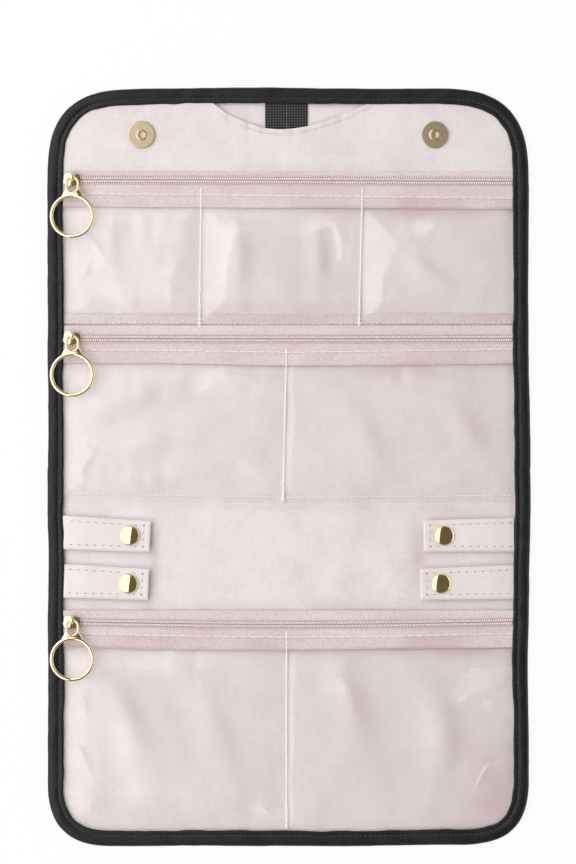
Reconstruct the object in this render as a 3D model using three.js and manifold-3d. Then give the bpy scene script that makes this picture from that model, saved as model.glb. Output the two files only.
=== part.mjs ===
// Tri-fold jewelry organizer with three zipped clear pockets, lying open on its back.
// Millimetres. X runs across the case, Y up its length and Z up from the table.

import * as THREE from 'three';
import { mergeVertices } from 'three/addons/utils/BufferGeometryUtils.js';
import Module from 'manifold-3d';

const wasm = await Module();
wasm.setup();

// Outline and folds of the case
const caseWidth = 255;
const caseLength = 401;
const topCornerRadius = 37.6;
const bottomCornerRadius = 28.1;
const middlePanelLength = 148;
const foldStripWidth = 2.2;
const foldGap = 0.3;

// Layers of a panel, from the table up
const layerGap = 0.1;
const shellCloth = 0.4;
const paddingThickness = 1;
const liningCloth = 0.3;
const bindingWidth = 8.3;
const bindingCloth = 0.6;
const bindingRounding = 1.1;
const bindingChamfer = 0.33;
const bindingGrip = 0.9;
const cornerSteps = 9;

const shellBottom = bindingCloth + layerGap;
const paddingBottom = shellBottom + shellCloth + layerGap;
const liningBottom = paddingBottom + paddingThickness + layerGap;
const liningTop = liningBottom + liningCloth;

// Zips: two tapes with a row of coil teeth each, and the slider that runs on them
const zipTapeCloth = 0.5;
const coilWidth = 2;
const coilHeight = 1.4;
const coilGap = 0.9;
const coilShoulder = 0.6;
const coilSlope = 0.47;
const sliderLength = 9;
const sliderWidth = 7.4;
const sliderNoseWidth = 5.6;
const sliderNoseRounding = 0.4;
const sliderShoulder = 2.7;
const sliderTailWidth = 5.9;
const sliderPlate = 0.6;
const sliderClearance = 0.2;
const sliderWebLength = 3;
const lowerTapeWidth = 13.8;
const tapeEndMargin = 3.2;

const sliderBottom = liningTop + sliderClearance + layerGap;
const tapeBottom = sliderBottom + sliderPlate + sliderClearance;
const tapeTop = tapeBottom + zipTapeCloth;
const coilTop = tapeTop + coilHeight;
const sliderTop = coilTop + sliderClearance + sliderPlate;
const bindingLip = tapeTop + layerGap;
const bindingTop = bindingLip + bindingCloth;

// Clear film windows, swollen over what the pockets hold
const filmThickness = 0.35;
const filmOverlap = 7;
const filmHemWidth = 3.5;
const pocketDepth = 4.7;
const pocketRise = 11;
const pocketRiseSteps = 4;
const pocketCornerSpare = 6.6;
const filmFlangeTop = tapeBottom - layerGap;
const filmTop = liningTop + pocketDepth + filmThickness;

// Ring pulls and the staple on each slider that holds them
const pullThickness = 1.4;
const ringOuterRadius = 11.8;
const ringInnerRadius = 9.9;
const ringReach = 20.5;
const eyeOuterWidth = 7.4;
const eyeOuterLength = 9.6;
const eyeWire = 1.3;
const pullWebWidth = 11;
const pullWebReach = 12;
const pullWebLength = 4;
const stapleWidth = 1.8;
const stapleWire = 0.9;
const pivotClearance = 0.2;
const pivotOffset = 1.2;
const pullRestGap = 0.5;

// Snap tabs, caps, sockets and studs
const tabWidth = 17.2;
const tabThickness = 1.2;
const tabBend = 12;
const tabRootGap = 0.7;
const snapInset = 11;
const capRadius = 5.25;
const capHeight = 2.1;
const capEdge = 0.4;
const capPostRadius = 1.4;
const snapHoleClearance = 0.25;
const socketRadius = 4.8;
const socketHeight = 1.4;
const socketChamfer = 0.3;
const studRadius = 4.6;
const studFlange = 0.5;
const studPostRadius = 1.9;
const studPostHeight = 1.5;
const studWaist = 0.2;
const studChamfer = 0.4;
const snapClearance = 0.3;
const seatGap = 0.05;

// Magnetic discs, their washers and the keeper discs on the back
const discRadius = 7.15;
const discThickness = 1.1;
const discChamfer = 0.44;
const discBossRadius = 2.5;
const discBossHeight = 0.7;
const discRecessRadius = 1.3;
const discRecessDepth = 0.9;
const discSpacing = 155;
const discFromTop = 25.2;
const discPostRadius = 1.2;
const postClearance = 0.3;
const washerRadius = 6.4;
const washerThickness = 0.5;
const keeperThickness = 0.5;

// Hanger pocket and the webbing loop tucked into it
const pocketCutLeft = -42.4;
const pocketCutRight = 44.2;
const pocketCutLowX = -3.7;
const pocketCutDepth = 13.9;
const pocketCutShoulder = 16.8;
const pocketCutEase = 3.6;
const pocketCutFlat = 12;
const webbingWidth = 11.1;
const webbingThickness = 0.7;
const webbingLegGap = 0.4;
const webbingLength = 31;
const webbingCentreX = -0.9;
const webbingClearance = 0.15;

// Rows of pockets: how far each zip lies below the end or fold above it, how far above the zip
// its tape is sewn, and the compartment seams
const topZipInset = 48.9;
const topSeamRise = 4.6;
const middleZipInset = 6.2;
const middleSeamRise = 6.8;
const bottomZipInset = 8.4;
const bottomSeamRise = 6.3;
const topDividers = [-45.8, 38.7];
const middleDividers = [-1.6];
const bottomDividers = [-0.7];

// The plain satin field between the lower fold and the middle pockets, and the snap tabs on it:
// how far above the fold each leaves the side binding, its length and its lean in degrees
const tabFieldLength = 58.1;
const tabNames = ['left_upper', 'left_lower', 'right_upper', 'right_lower'];
const tabRises = [39.1, 13.5, 37.9, 12.9];
const tabLengths = [45.7, 44.9, 46.8, 48.5];
const tabLeans = [2.7, 2.5, 0.8, 1.4];

// How far a cutting shape reaches past what it cuts
const cutSpare = 1;

const foldY = middlePanelLength / 2;
const topZipY = caseLength / 2 - topZipInset;
const middleZipY = foldY - middleZipInset;
const bottomZipY = -foldY - bottomZipInset;
const middlePocketEnd = -foldY + tabFieldLength;
const stripHalf = foldStripWidth / 2;
const innerHalfWidth = caseWidth / 2 - bindingWidth;
const panels = {
  top: { low: foldY + stripHalf + foldGap, high: caseLength / 2, radius: topCornerRadius },
  middle: { low: -foldY + stripHalf + foldGap, high: foldY - stripHalf - foldGap, radius: 0 },
  bottom: { low: -caseLength / 2, high: -foldY - stripHalf - foldGap, radius: bottomCornerRadius },
};

// Materials
const finishes = {
  shell: { color: 0x2b292b, roughness: 0.8, metalness: 0 },
  binding: { color: 0x2d2b2d, roughness: 0.6, metalness: 0 },
  padding: { color: 0xd9d4cc, roughness: 0.95, metalness: 0 },
  satin: { color: 0xecdfdf, roughness: 0.5, metalness: 0 },
  tape: { color: 0xdec6c9, roughness: 0.8, metalness: 0 },
  film: { color: 0xf4f2f2, roughness: 0.1, metalness: 0, transparent: true, opacity: 0.3 },
  leather: { color: 0xefe6e5, roughness: 0.6, metalness: 0 },
  gold: { color: 0xd9c08a, roughness: 0.2, metalness: 1 },
  paleGold: { color: 0xc8b48c, roughness: 0.4, metalness: 1 },
  steel: { color: 0xb8b8b8, roughness: 0.35, metalness: 1 },
  webbing: { color: 0x2e2c2d, roughness: 0.9, metalness: 0 },
};

// A closed mesh with each corner stored once and its faces pointing out
function weld(geometry) {
  const bare = geometry.clone();
  bare.deleteAttribute('normal');
  bare.deleteAttribute('uv');
  const merged = mergeVertices(bare, 1e-4);
  const index = merged.getIndex().array;
  const faces = [];
  for (let i = 0; i < index.length; i += 3) {
    const [a, b, c] = [index[i], index[i + 1], index[i + 2]];
    if (a !== b && b !== c && c !== a) faces.push([a, b, c]);
  }
  const corner = (i) => new THREE.Vector3().fromBufferAttribute(merged.getAttribute('position'), i);
  const volume = faces.reduce((sum, [a, b, c]) => sum + corner(a).dot(corner(b).cross(corner(c))), 0);
  merged.setIndex((volume < 0 ? faces.map(([a, b, c]) => [a, c, b]) : faces).flat());
  return merged;
}

function solidOf(geometry) {
  const welded = weld(geometry);
  const vertProperties = new Float32Array(welded.getAttribute('position').array);
  const triVerts = new Uint32Array(welded.getIndex().array);
  return new wasm.Manifold(new wasm.Mesh({ numProp: 3, vertProperties, triVerts }));
}

function geometryOf(solid) {
  const mesh = solid.getMesh();
  const geometry = new THREE.BufferGeometry();
  geometry.setAttribute('position', new THREE.BufferAttribute(mesh.vertProperties, 3));
  geometry.setIndex(Array.from(mesh.triVerts));
  return geometry;
}

const join = (...shapes) => geometryOf(shapes.map(solidOf).reduce((a, b) => a.add(b)));
const without = (a, b) => a.subtract(b);
const cut = (shape, ...tools) => geometryOf(tools.map(solidOf).reduce(without, solidOf(shape)));
const common = (a, b) => geometryOf(solidOf(a).intersect(solidOf(b)));

// A flat plate of the given outline between two heights
function plate(shape, low, high, curveSegments = 12) {
  const options = { depth: high - low, bevelEnabled: false, curveSegments };
  return weld(new THREE.ExtrudeGeometry(shape, options).translate(0, 0, low));
}

function block(low, high) {
  const size = high.map((value, axis) => value - low[axis]);
  const box = new THREE.BoxGeometry(...size);
  return weld(box.translate(...low.map((value, axis) => value + size[axis] / 2)));
}

// A turned piece from its [radius, height] profile, standing on the XY plane
function turned(profile, segments = 20) {
  const points = profile.map(([radius, height]) => new THREE.Vector2(radius, height));
  return weld(new THREE.LatheGeometry(points, segments).rotateX(Math.PI / 2));
}

// A section in the YZ plane drawn out along X
function drawnAlongX(section, low, high) {
  const shape = new THREE.Shape(section.map(([y, z]) => new THREE.Vector2(y, z)));
  const bar = new THREE.ExtrudeGeometry(shape, { depth: high - low, bevelEnabled: false });
  const turn = new THREE.Matrix4().makeBasis(
    new THREE.Vector3(0, 1, 0),
    new THREE.Vector3(0, 0, 1),
    new THREE.Vector3(1, 0, 0),
  );
  return weld(bar.applyMatrix4(turn).translate(low, 0, 0));
}

// The edge of a panel from one fold end round to the other, with the direction that points inward
function edgeStations(panel) {
  const half = caseWidth / 2;
  const end = panel === panels.bottom ? -1 : 1;
  const far = end > 0 ? panel.high : panel.low;
  const near = end > 0 ? panel.low : panel.high;
  const stations = [{ x: -half, y: near, inX: 1, inY: 0 }];
  for (const side of [-1, 1]) {
    for (let step = 0; step <= cornerSteps; step += 1) {
      const share = step / cornerSteps;
      const angle = (side < 0 ? share : 1 - share) * (Math.PI / 2);
      const outX = side * Math.cos(angle);
      const outY = end * Math.sin(angle);
      stations.push({
        x: side * (half - panel.radius) + outX * panel.radius,
        y: far - end * panel.radius + outY * panel.radius,
        inX: -outX,
        inY: -outY,
      });
    }
  }
  stations.push({ x: half, y: near, inX: -1, inY: 0 });
  return stations;
}

function panelOutline(panel, inset) {
  const points = panel.radius
    ? edgeStations(panel).map(({ x, y, inX, inY }) => [x + inX * inset, y + inY * inset])
    : [
        [-caseWidth / 2 + inset, panel.low],
        [-caseWidth / 2 + inset, panel.high],
        [caseWidth / 2 - inset, panel.high],
        [caseWidth / 2 - inset, panel.low],
      ];
  const corners = points.map(([x, y]) => new THREE.Vector2(x, y));
  return new THREE.Shape(THREE.ShapeUtils.isClockWise(corners) ? corners.reverse() : corners);
}

// The folded strip of binding cloth: [distance in from the edge, height]
const bindingSection = [
  [bindingWidth, 0],
  [bindingRounding, 0],
  [bindingChamfer, bindingChamfer],
  [0, bindingRounding],
  [0, bindingTop - bindingRounding],
  [bindingChamfer, bindingTop - bindingChamfer],
  [bindingRounding, bindingTop],
  [bindingWidth, bindingTop],
  [bindingWidth, bindingLip],
  [bindingCloth, bindingLip],
  [bindingCloth, bindingCloth],
  [bindingWidth, bindingCloth],
];

// A section carried along stations, closed at both ends
function swept(section, stations) {
  const flat = section.map(([inward, height]) => new THREE.Vector2(inward, height));
  if (THREE.ShapeUtils.isClockWise(flat)) flat.reverse();
  const count = flat.length;
  const positions = stations.flatMap(({ x, y, inX, inY }) =>
    flat.flatMap((point) => [x + inX * point.x, y + inY * point.x, point.y]),
  );
  const faces = [];
  for (let ring = 0; ring < stations.length - 1; ring += 1) {
    for (let side = 0; side < count; side += 1) {
      const a = ring * count + side;
      const b = ring * count + ((side + 1) % count);
      faces.push(a, b, b + count, a, b + count, a + count);
    }
  }
  const last = (stations.length - 1) * count;
  for (const [a, b, c] of THREE.ShapeUtils.triangulateShape(flat, [])) {
    faces.push(a, c, b, last + a, last + b, last + c);
  }
  const geometry = new THREE.BufferGeometry();
  geometry.setAttribute('position', new THREE.Float32BufferAttribute(positions, 3));
  geometry.setIndex(faces);
  return weld(geometry);
}

function straightBinding(side) {
  const end = foldY + stripHalf;
  const stations = [-end, end].map((y) => ({ x: (side * caseWidth) / 2, y, inX: -side, inY: 0 }));
  return swept(bindingSection, stations);
}

function circle(x, y, radius) {
  return new THREE.Path().absarc(x, y, radius, 0, Math.PI * 2, true);
}

const discPlaces = [-discSpacing / 2, discSpacing / 2].map((x) => [x, caseLength / 2 - discFromTop]);
const keeperPlaces = discPlaces.map(([x, y]) => [x, y - 4 * foldY]);
const edgeInset = bindingCloth + bindingGrip;

function shell(panel, holes = []) {
  const outline = panelOutline(panel, edgeInset);
  outline.holes = holes.map(([x, y]) => circle(x, y, discPostRadius + postClearance));
  return plate(outline, shellBottom, shellBottom + shellCloth, 6);
}

function padding(panel) {
  return plate(panelOutline(panel, edgeInset), paddingBottom, paddingBottom + paddingThickness);
}

function lining(panel) {
  return plate(panelOutline(panel, edgeInset), liningBottom, liningTop);
}

function foldStrip(side) {
  const reach = caseWidth / 2 - edgeInset;
  const y = side * foldY;
  return block([-reach, y - stripHalf, shellBottom], [reach, y + stripHalf, liningTop]);
}

// Half a zip: the tape and, along its inner edge, the row of coil teeth
function zipTape(side, width) {
  const inner = (side * coilGap) / 2;
  const reach = caseWidth / 2 - tapeEndMargin;
  const coilReach = innerHalfWidth - foldGap;
  const overlap = zipTapeCloth / 2;
  const flat = [
    [inner, tapeBottom],
    [side * width, tapeBottom],
    [side * width, tapeTop],
    [inner, tapeTop],
  ];
  const coilSection = [
    [inner, tapeTop - overlap],
    [inner + side * coilWidth, tapeTop - overlap],
    [inner + side * coilWidth, coilTop - coilSlope],
    [inner + side * (coilWidth - coilShoulder), coilTop],
    [inner + side * coilShoulder, coilTop],
    [inner, coilTop - coilSlope],
  ];
  return join(drawnAlongX(flat, -reach, reach), drawnAlongX(coilSection, -coilReach, coilReach));
}

// The slider's two plates, the web between them and the staple that the pull hangs on
const eyeHoleRadius = eyeOuterWidth / 2 - eyeWire;
const wireSag = eyeHoleRadius - Math.sqrt(eyeHoleRadius ** 2 - (stapleWidth / 2) ** 2);
const wireReach = Math.hypot(eyeWire / 2 + wireSag, pullThickness / 2);
const pivotZ = sliderTop + pivotClearance + wireReach;

function stapleSection() {
  const opening = wireReach + pivotClearance;
  const outside = opening + stapleWire;
  const foot = -(pivotZ - sliderTop) - sliderPlate / 2;
  const arch = [];
  const archSteps = 6;
  for (let step = 0; step <= archSteps; step += 1) {
    const angle = (Math.PI * step) / archSteps;
    arch.push([Math.cos(angle), Math.sin(angle)]);
  }
  const outer = arch.map(([y, z]) => [y * outside, z * outside]);
  const inner = arch.map(([y, z]) => [y * opening, z * opening]).reverse();
  return [[outside, foot], ...outer, [-outside, foot], [-opening, foot], ...inner, [opening, foot]];
}

function slider() {
  const front = -sliderLength / 2;
  const bend = front + sliderNoseRounding;
  const shoulder = front + sliderShoulder;
  const half = sliderWidth / 2;
  const plateShape = new THREE.Shape();
  plateShape.moveTo(front, -sliderNoseWidth / 2);
  plateShape.quadraticCurveTo(bend, -half, shoulder, -half);
  plateShape.lineTo(sliderLength / 2, -sliderTailWidth / 2);
  plateShape.lineTo(sliderLength / 2, sliderTailWidth / 2);
  plateShape.lineTo(shoulder, half);
  plateShape.quadraticCurveTo(bend, half, front, sliderNoseWidth / 2);
  plateShape.closePath();
  const webHalf = coilGap / 2 - sliderClearance;
  const web = block(
    [front, -webHalf, sliderBottom + sliderPlate / 2],
    [front + sliderWebLength, webHalf, sliderTop - sliderPlate / 2],
  );
  const staple = drawnAlongX(stapleSection(), -stapleWidth / 2, stapleWidth / 2);
  return join(
    plate(plateShape, sliderBottom, sliderBottom + sliderPlate, 4),
    plate(plateShape, sliderTop - sliderPlate, sliderTop, 4),
    web,
    staple.translate(0, pivotOffset, pivotZ),
  );
}

// The ring pull in its own plane: the pivot wire at the origin, the ring towards -Y
function pullGeometry() {
  const eyeRadius = eyeOuterWidth / 2;
  const eyeTop = eyeWire / 2;
  const holeRadius = eyeHoleRadius;
  const holeTop = -eyeWire / 2;
  const holeLow = eyeTop - eyeOuterLength + eyeWire;
  const ring = new THREE.Shape().absarc(0, -ringReach, ringOuterRadius, 0, Math.PI * 2);
  const eye = new THREE.Shape();
  eye.moveTo(-eyeRadius, eyeTop - eyeRadius);
  eye.absarc(0, eyeTop - eyeRadius, eyeRadius, Math.PI, 0, true);
  eye.lineTo(eyeRadius, -pullWebReach + pullWebLength);
  eye.lineTo(pullWebWidth / 2, -pullWebReach);
  eye.lineTo(-pullWebWidth / 2, -pullWebReach);
  eye.lineTo(-eyeRadius, -pullWebReach + pullWebLength);
  eye.closePath();
  const eyeHole = new THREE.Shape();
  eyeHole.absarc(0, holeTop - holeRadius, holeRadius, 0, Math.PI);
  eyeHole.absarc(0, holeLow + holeRadius, holeRadius, Math.PI, Math.PI * 2);
  eyeHole.closePath();
  const ringHole = new THREE.Shape().absarc(0, -ringReach, ringInnerRadius, 0, Math.PI * 2);
  const half = pullThickness / 2;
  const past = half + cutSpare;
  const body = join(plate(ring, -half, half, 28), plate(eye, -half, half, 8));
  return cut(body, plate(eyeHole, -past, past, 6), plate(ringHole, -past, past, 24));
}

// Film height above its flange at a distance in from the nearest seam
function swell(distance) {
  const share = Math.min(Math.max(distance / pocketRise, 0), 1);
  return (filmTop - filmFlangeTop) * share * share * (3 - 2 * share);
}

// Evenly spaced lines up each rise, closing on the flat between them
function riseLines(low, high) {
  const lines = [low];
  for (let step = 1; step <= pocketRiseSteps; step += 1) {
    lines.push(low + (pocketRise * step) / pocketRiseSteps);
  }
  for (let step = pocketRiseSteps; step >= 1; step -= 1) {
    lines.push(high - (pocketRise * step) / pocketRiseSteps);
  }
  return [...lines, high];
}

// How far a point lies inside the rounded inner edge of the binding at the closed end of a panel
function insideCorner(panel, x, y) {
  const radius = panel.radius - bindingWidth;
  const end = panel === panels.bottom ? -1 : 1;
  const far = (end > 0 ? panel.high : panel.low) - end * bindingWidth;
  const dx = Math.abs(x) - (innerHalfWidth - radius);
  const dy = end * (y - far) + radius;
  return dx > 0 && dy > 0 ? radius - Math.hypot(dx, dy) : Infinity;
}

// A sheet of film over one row of compartments
function filmWindow({ zipY, low, hemLow, dividers, panel, rounded }) {
  const flange = caseWidth / 2 - tapeEndMargin;
  const high = zipY - lowerTapeWidth;
  const seams = [-innerHalfWidth, ...dividers, innerHalfWidth];
  const xs = seams.slice(1).flatMap((right, i) => riseLines(seams[i], right).slice(i ? 1 : 0));
  const ys = riseLines(low, high);
  if (rounded) {
    const spare = innerHalfWidth - pocketRise - pocketCornerSpare;
    xs.push(-spare, spare);
    ys.push(low + pocketRise + pocketCornerSpare);
  }
  const inOrder = (a, b) => a - b;
  const columns = [-flange, ...xs.sort(inOrder), flange];
  const rows = [hemLow, ...ys.sort(inOrder), zipY - filmOverlap];
  const height = (x, y) => {
    const across = Math.min(...seams.map((seam) => Math.abs(x - seam)));
    const along = Math.min(y - low, high - y);
    const corner = rounded ? insideCorner(panel, x, y) : Infinity;
    return Math.abs(x) > innerHalfWidth ? 0 : swell(Math.min(across, along, corner));
  };
  const point = (i, j, drop) => [columns[i], rows[j], filmFlangeTop + height(columns[i], rows[j]) - drop];
  const positions = [0, filmThickness].flatMap((drop) =>
    rows.flatMap((_, j) => columns.flatMap((__, i) => point(i, j, drop))),
  );
  const layer = rows.length * columns.length;
  const at = (i, j, level) => level * layer + j * columns.length + i;
  const faces = [];
  for (let j = 0; j < rows.length - 1; j += 1) {
    for (let i = 0; i < columns.length - 1; i += 1) {
      faces.push(at(i, j, 0), at(i + 1, j, 0), at(i + 1, j + 1, 0));
      faces.push(at(i, j, 0), at(i + 1, j + 1, 0), at(i, j + 1, 0));
      faces.push(at(i, j, 1), at(i + 1, j + 1, 1), at(i + 1, j, 1));
      faces.push(at(i, j, 1), at(i, j + 1, 1), at(i + 1, j + 1, 1));
    }
  }
  const rim = [
    ...columns.slice(1).map((_, i) => [i, 0, i + 1, 0]),
    ...rows.slice(1).map((_, j) => [columns.length - 1, j, columns.length - 1, j + 1]),
    ...columns.slice(1).map((_, i) => [i + 1, rows.length - 1, i, rows.length - 1]),
    ...rows.slice(1).map((_, j) => [0, j + 1, 0, j]),
  ];
  for (const [i, j, k, l] of rim) {
    faces.push(at(i, j, 0), at(i, j, 1), at(k, l, 1), at(i, j, 0), at(k, l, 1), at(k, l, 0));
  }
  const sheet = new THREE.BufferGeometry();
  sheet.setAttribute('position', new THREE.Float32BufferAttribute(positions, 3));
  sheet.setIndex(faces);
  const trim = plate(panelOutline(panel, edgeInset), liningTop, filmTop + cutSpare);
  return rounded ? common(sheet, trim) : weld(sheet);
}

// The satin layer with a dipped edge that leaves the webbing in reach
function hangerPocket() {
  const inner = caseLength / 2 - bindingWidth;
  const low = topZipY + topSeamRise + foldGap;
  const bottom = inner - pocketCutDepth;
  const eased = bottom + pocketCutEase;
  const leftShoulder = pocketCutLeft + pocketCutShoulder;
  const rightShoulder = pocketCutRight - pocketCutShoulder;
  const leftFlat = pocketCutLowX - pocketCutFlat;
  const rightFlat = pocketCutLowX + pocketCutFlat;
  const dip = new THREE.Shape();
  dip.moveTo(pocketCutLeft, inner + bindingWidth);
  dip.lineTo(pocketCutLeft, inner);
  dip.bezierCurveTo(leftShoulder, eased, leftFlat, bottom, pocketCutLowX, bottom);
  dip.bezierCurveTo(rightFlat, bottom, rightShoulder, eased, pocketCutRight, inner);
  dip.lineTo(pocketCutRight, inner + bindingWidth);
  dip.closePath();
  const outline = panelOutline({ ...panels.top, low }, edgeInset);
  outline.holes = discPlaces.map(([x, y]) => circle(x, y, discPostRadius + postClearance));
  const dipSolid = plate(dip, tapeBottom - cutSpare, tapeTop + cutSpare, 8);
  return cut(plate(outline, tapeBottom, tapeTop, 6), dipSolid);
}

// Webbing folded flat into a loop of two legs
function hangingLoop() {
  const root = caseLength / 2 - bindingWidth;
  const legOuter = webbingLegGap / 2 + webbingWidth;
  const end = root - webbingLength;
  const shape = new THREE.Shape();
  shape.moveTo(webbingCentreX - legOuter, root);
  shape.lineTo(webbingCentreX - legOuter, end + webbingWidth / 2);
  shape.lineTo(webbingCentreX - webbingWidth / 2, end);
  shape.lineTo(webbingCentreX + webbingWidth / 2, end);
  shape.lineTo(webbingCentreX + legOuter, end + webbingWidth / 2);
  shape.lineTo(webbingCentreX + legOuter, root);
  shape.lineTo(webbingCentreX + webbingLegGap / 2, root);
  shape.lineTo(webbingCentreX + webbingLegGap / 2, end + webbingWidth);
  shape.lineTo(webbingCentreX - webbingLegGap / 2, end + webbingWidth);
  shape.lineTo(webbingCentreX - webbingLegGap / 2, root);
  shape.closePath();
  const low = liningTop + webbingClearance;
  return plate(shape, low, low + webbingThickness);
}

// A thin disc with a dished boss and a post behind it
function magnetDisc() {
  const top = discThickness + discBossHeight;
  const post = tapeTop + seatGap - liningTop - postClearance;
  return turned([
    [0, -post],
    [discPostRadius, -post],
    [discPostRadius, 0],
    [discRadius, 0],
    [discRadius, discThickness - discChamfer],
    [discRadius - discChamfer, discThickness],
    [discBossRadius, discThickness],
    [discBossRadius, top],
    [discRecessRadius, top],
    [discRecessRadius, top - discRecessDepth],
    [0, top - discRecessDepth],
  ]);
}

function washer(thickness) {
  const bore = discPostRadius + postClearance;
  return turned([
    [bore, 0],
    [washerRadius, 0],
    [washerRadius, thickness],
    [bore, thickness],
    [bore, 0],
  ]);
}

function keeperDisc() {
  return turned([
    [0, 0],
    [discRadius, 0],
    [discRadius, keeperThickness],
    [discPostRadius, keeperThickness],
    [discPostRadius, shellBottom + shellCloth],
    [0, shellBottom + shellCloth],
  ]);
}

// Heights of the snap stack: the stud on the lining, the socket round it and the tab above
const studBottom = liningTop + seatGap;
const socketBottom = studBottom + studFlange + seatGap;
const tabBottom = socketBottom + socketHeight + seatGap;
const tabRootBottom = tapeBottom;

function snapTab(length) {
  const section = [
    [0, tabRootBottom],
    [tabBend, tabBottom],
    [length, tabBottom],
    [length, tabBottom + tabThickness],
    [tabBend, tabBottom + tabThickness],
    [0, tabRootBottom + tabThickness],
  ];
  const shape = new THREE.Shape(section.map(([x, z]) => new THREE.Vector2(x, z)));
  const strip = new THREE.ExtrudeGeometry(shape, { depth: tabWidth, bevelEnabled: false });
  strip.rotateX(Math.PI / 2).translate(0, tabWidth / 2, 0);
  const radius = capPostRadius + snapHoleClearance;
  const hole = new THREE.Shape().absarc(length - snapInset, 0, radius, 0, Math.PI * 2);
  return cut(strip, plate(hole, tabBottom - cutSpare, tabBottom + tabThickness + cutSpare, 6));
}

// A domed cap whose post reaches down through the tab
function snapCap() {
  const base = tabBottom + tabThickness + seatGap;
  const rise = capHeight - capEdge;
  const dome = [];
  const domeSteps = 5;
  for (let step = 0; step <= domeSteps; step += 1) {
    const angle = (Math.PI / 2) * (step / domeSteps);
    dome.push([capRadius * Math.cos(angle), base + capEdge + rise * Math.sin(angle)]);
  }
  dome[domeSteps][0] = 0;
  return turned([
    [0, tabBottom + seatGap],
    [capPostRadius, tabBottom + seatGap],
    [capPostRadius, base],
    [capRadius, base],
    ...dome,
  ]);
}

function snapSocket() {
  const bore = studPostRadius + snapClearance;
  const top = socketBottom + socketHeight;
  return turned([
    [bore, socketBottom],
    [socketRadius, socketBottom],
    [socketRadius, top - socketChamfer],
    [socketRadius - socketChamfer, top],
    [bore, top],
    [bore, socketBottom],
  ]);
}

function snapStud() {
  const flangeTop = studBottom + studFlange;
  const postTop = studBottom + Math.min(studPostHeight, studFlange + socketHeight - snapClearance);
  return turned([
    [0, studBottom],
    [studRadius, studBottom],
    [studRadius, flangeTop],
    [studPostRadius - studWaist, flangeTop],
    [studPostRadius, postTop - studChamfer],
    [studPostRadius - studChamfer, postTop],
    [0, postTop],
  ]);
}

// The assembly
const organizer = new THREE.Group();

function add(name, geometry, finish, parent = organizer) {
  const mesh = new THREE.Mesh(geometry, new THREE.MeshStandardMaterial(finishes[finish]));
  mesh.name = name;
  parent.add(mesh);
  return mesh;
}

function addPanel(name, panel, holes) {
  add(`${name}_shell`, shell(panel, holes), 'shell');
  add(`${name}_padding`, padding(panel), 'padding');
  add(`${name}_lining`, lining(panel), 'satin');
}

function addZip(name, zipY, seamRise) {
  add(`${name}_zip_upper_tape`, zipTape(1, seamRise), 'tape').position.y = zipY;
  add(`${name}_zip_lower_tape`, zipTape(-1, lowerTapeWidth), 'tape').position.y = zipY;
  const sliderX = -innerHalfWidth + sliderLength / 2 + tabRootGap;
  add(`${name}_slider`, slider(), 'gold').position.set(sliderX, zipY, 0);
  const pivot = new THREE.Group();
  pivot.position.set(sliderX, zipY + pivotOffset, pivotZ);
  const tipZ = filmTop + pullRestGap + pullThickness / 2;
  pivot.rotation.x = -Math.asin((tipZ - pivotZ) / (ringReach + ringOuterRadius));
  organizer.add(pivot);
  add(`${name}_ring_pull`, pullGeometry(), 'gold', pivot);
}

function addTab(name, i) {
  const side = name.startsWith('left') ? -1 : 1;
  const length = tabLengths[i];
  const lean = THREE.MathUtils.degToRad(tabLeans[i]);
  const root = new THREE.Group();
  root.position.set(side * (innerHalfWidth - tabRootGap), -foldY + tabRises[i], 0);
  root.rotation.z = side < 0 ? -lean : Math.PI + lean;
  organizer.add(root);
  add(`tab_${name}`, snapTab(length), 'leather', root);
  for (const [part, geometry, finish] of [
    ['cap', snapCap(), 'gold'],
    ['socket', snapSocket(), 'steel'],
    ['stud', snapStud(), 'steel'],
  ]) {
    add(`snap_${part}_${name}`, geometry, finish, root).position.x = length - snapInset;
  }
}

addPanel('top', panels.top);
addPanel('middle', panels.middle);
addPanel('bottom', panels.bottom, keeperPlaces);
add('top_binding', swept(bindingSection, edgeStations(panels.top)), 'binding');
add('bottom_binding', swept(bindingSection, edgeStations(panels.bottom)), 'binding');
add('left_binding', straightBinding(-1), 'binding');
add('right_binding', straightBinding(1), 'binding');
add('upper_fold_strip', foldStrip(1), 'satin');
add('lower_fold_strip', foldStrip(-1), 'satin');

addZip('top', topZipY, topSeamRise);
addZip('middle', middleZipY, middleSeamRise);
addZip('bottom', bottomZipY, bottomSeamRise);

const topPocketEnd = panels.top.low + foldGap;
const bottomPocketEnd = panels.bottom.low + bindingWidth;
const windows = {
  top: { zipY: topZipY, low: topPocketEnd, hemLow: panels.top.low, dividers: topDividers, panel: panels.top },
  middle: {
    zipY: middleZipY,
    low: middlePocketEnd,
    hemLow: middlePocketEnd - filmHemWidth,
    dividers: middleDividers,
    panel: panels.middle,
  },
  bottom: {
    zipY: bottomZipY,
    low: bottomPocketEnd,
    hemLow: bottomPocketEnd - bindingWidth,
    dividers: bottomDividers,
    panel: panels.bottom,
    rounded: true,
  },
};
for (const [name, window] of Object.entries(windows)) {
  add(`${name}_clear_window`, filmWindow(window), 'film');
}

add('hanger_pocket_panel', hangerPocket(), 'satin');
add('hanging_loop', hangingLoop(), 'webbing');
for (const [i, side] of ['left', 'right'].entries()) {
  const [x, y] = discPlaces[i];
  add(`magnet_disc_${side}`, magnetDisc(), 'paleGold').position.set(x, y, tapeTop + seatGap);
  const washerLow = tapeBottom - layerGap - washerThickness;
  add(`magnet_washer_${side}`, washer(washerThickness), 'steel').position.set(x, y, washerLow);
  const [keeperX, keeperY] = keeperPlaces[i];
  add(`keeper_disc_${side}`, keeperDisc(), 'paleGold').position.set(keeperX, keeperY, seatGap);
}
tabNames.forEach(addTab);

export default organizer;
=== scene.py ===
import math

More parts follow.
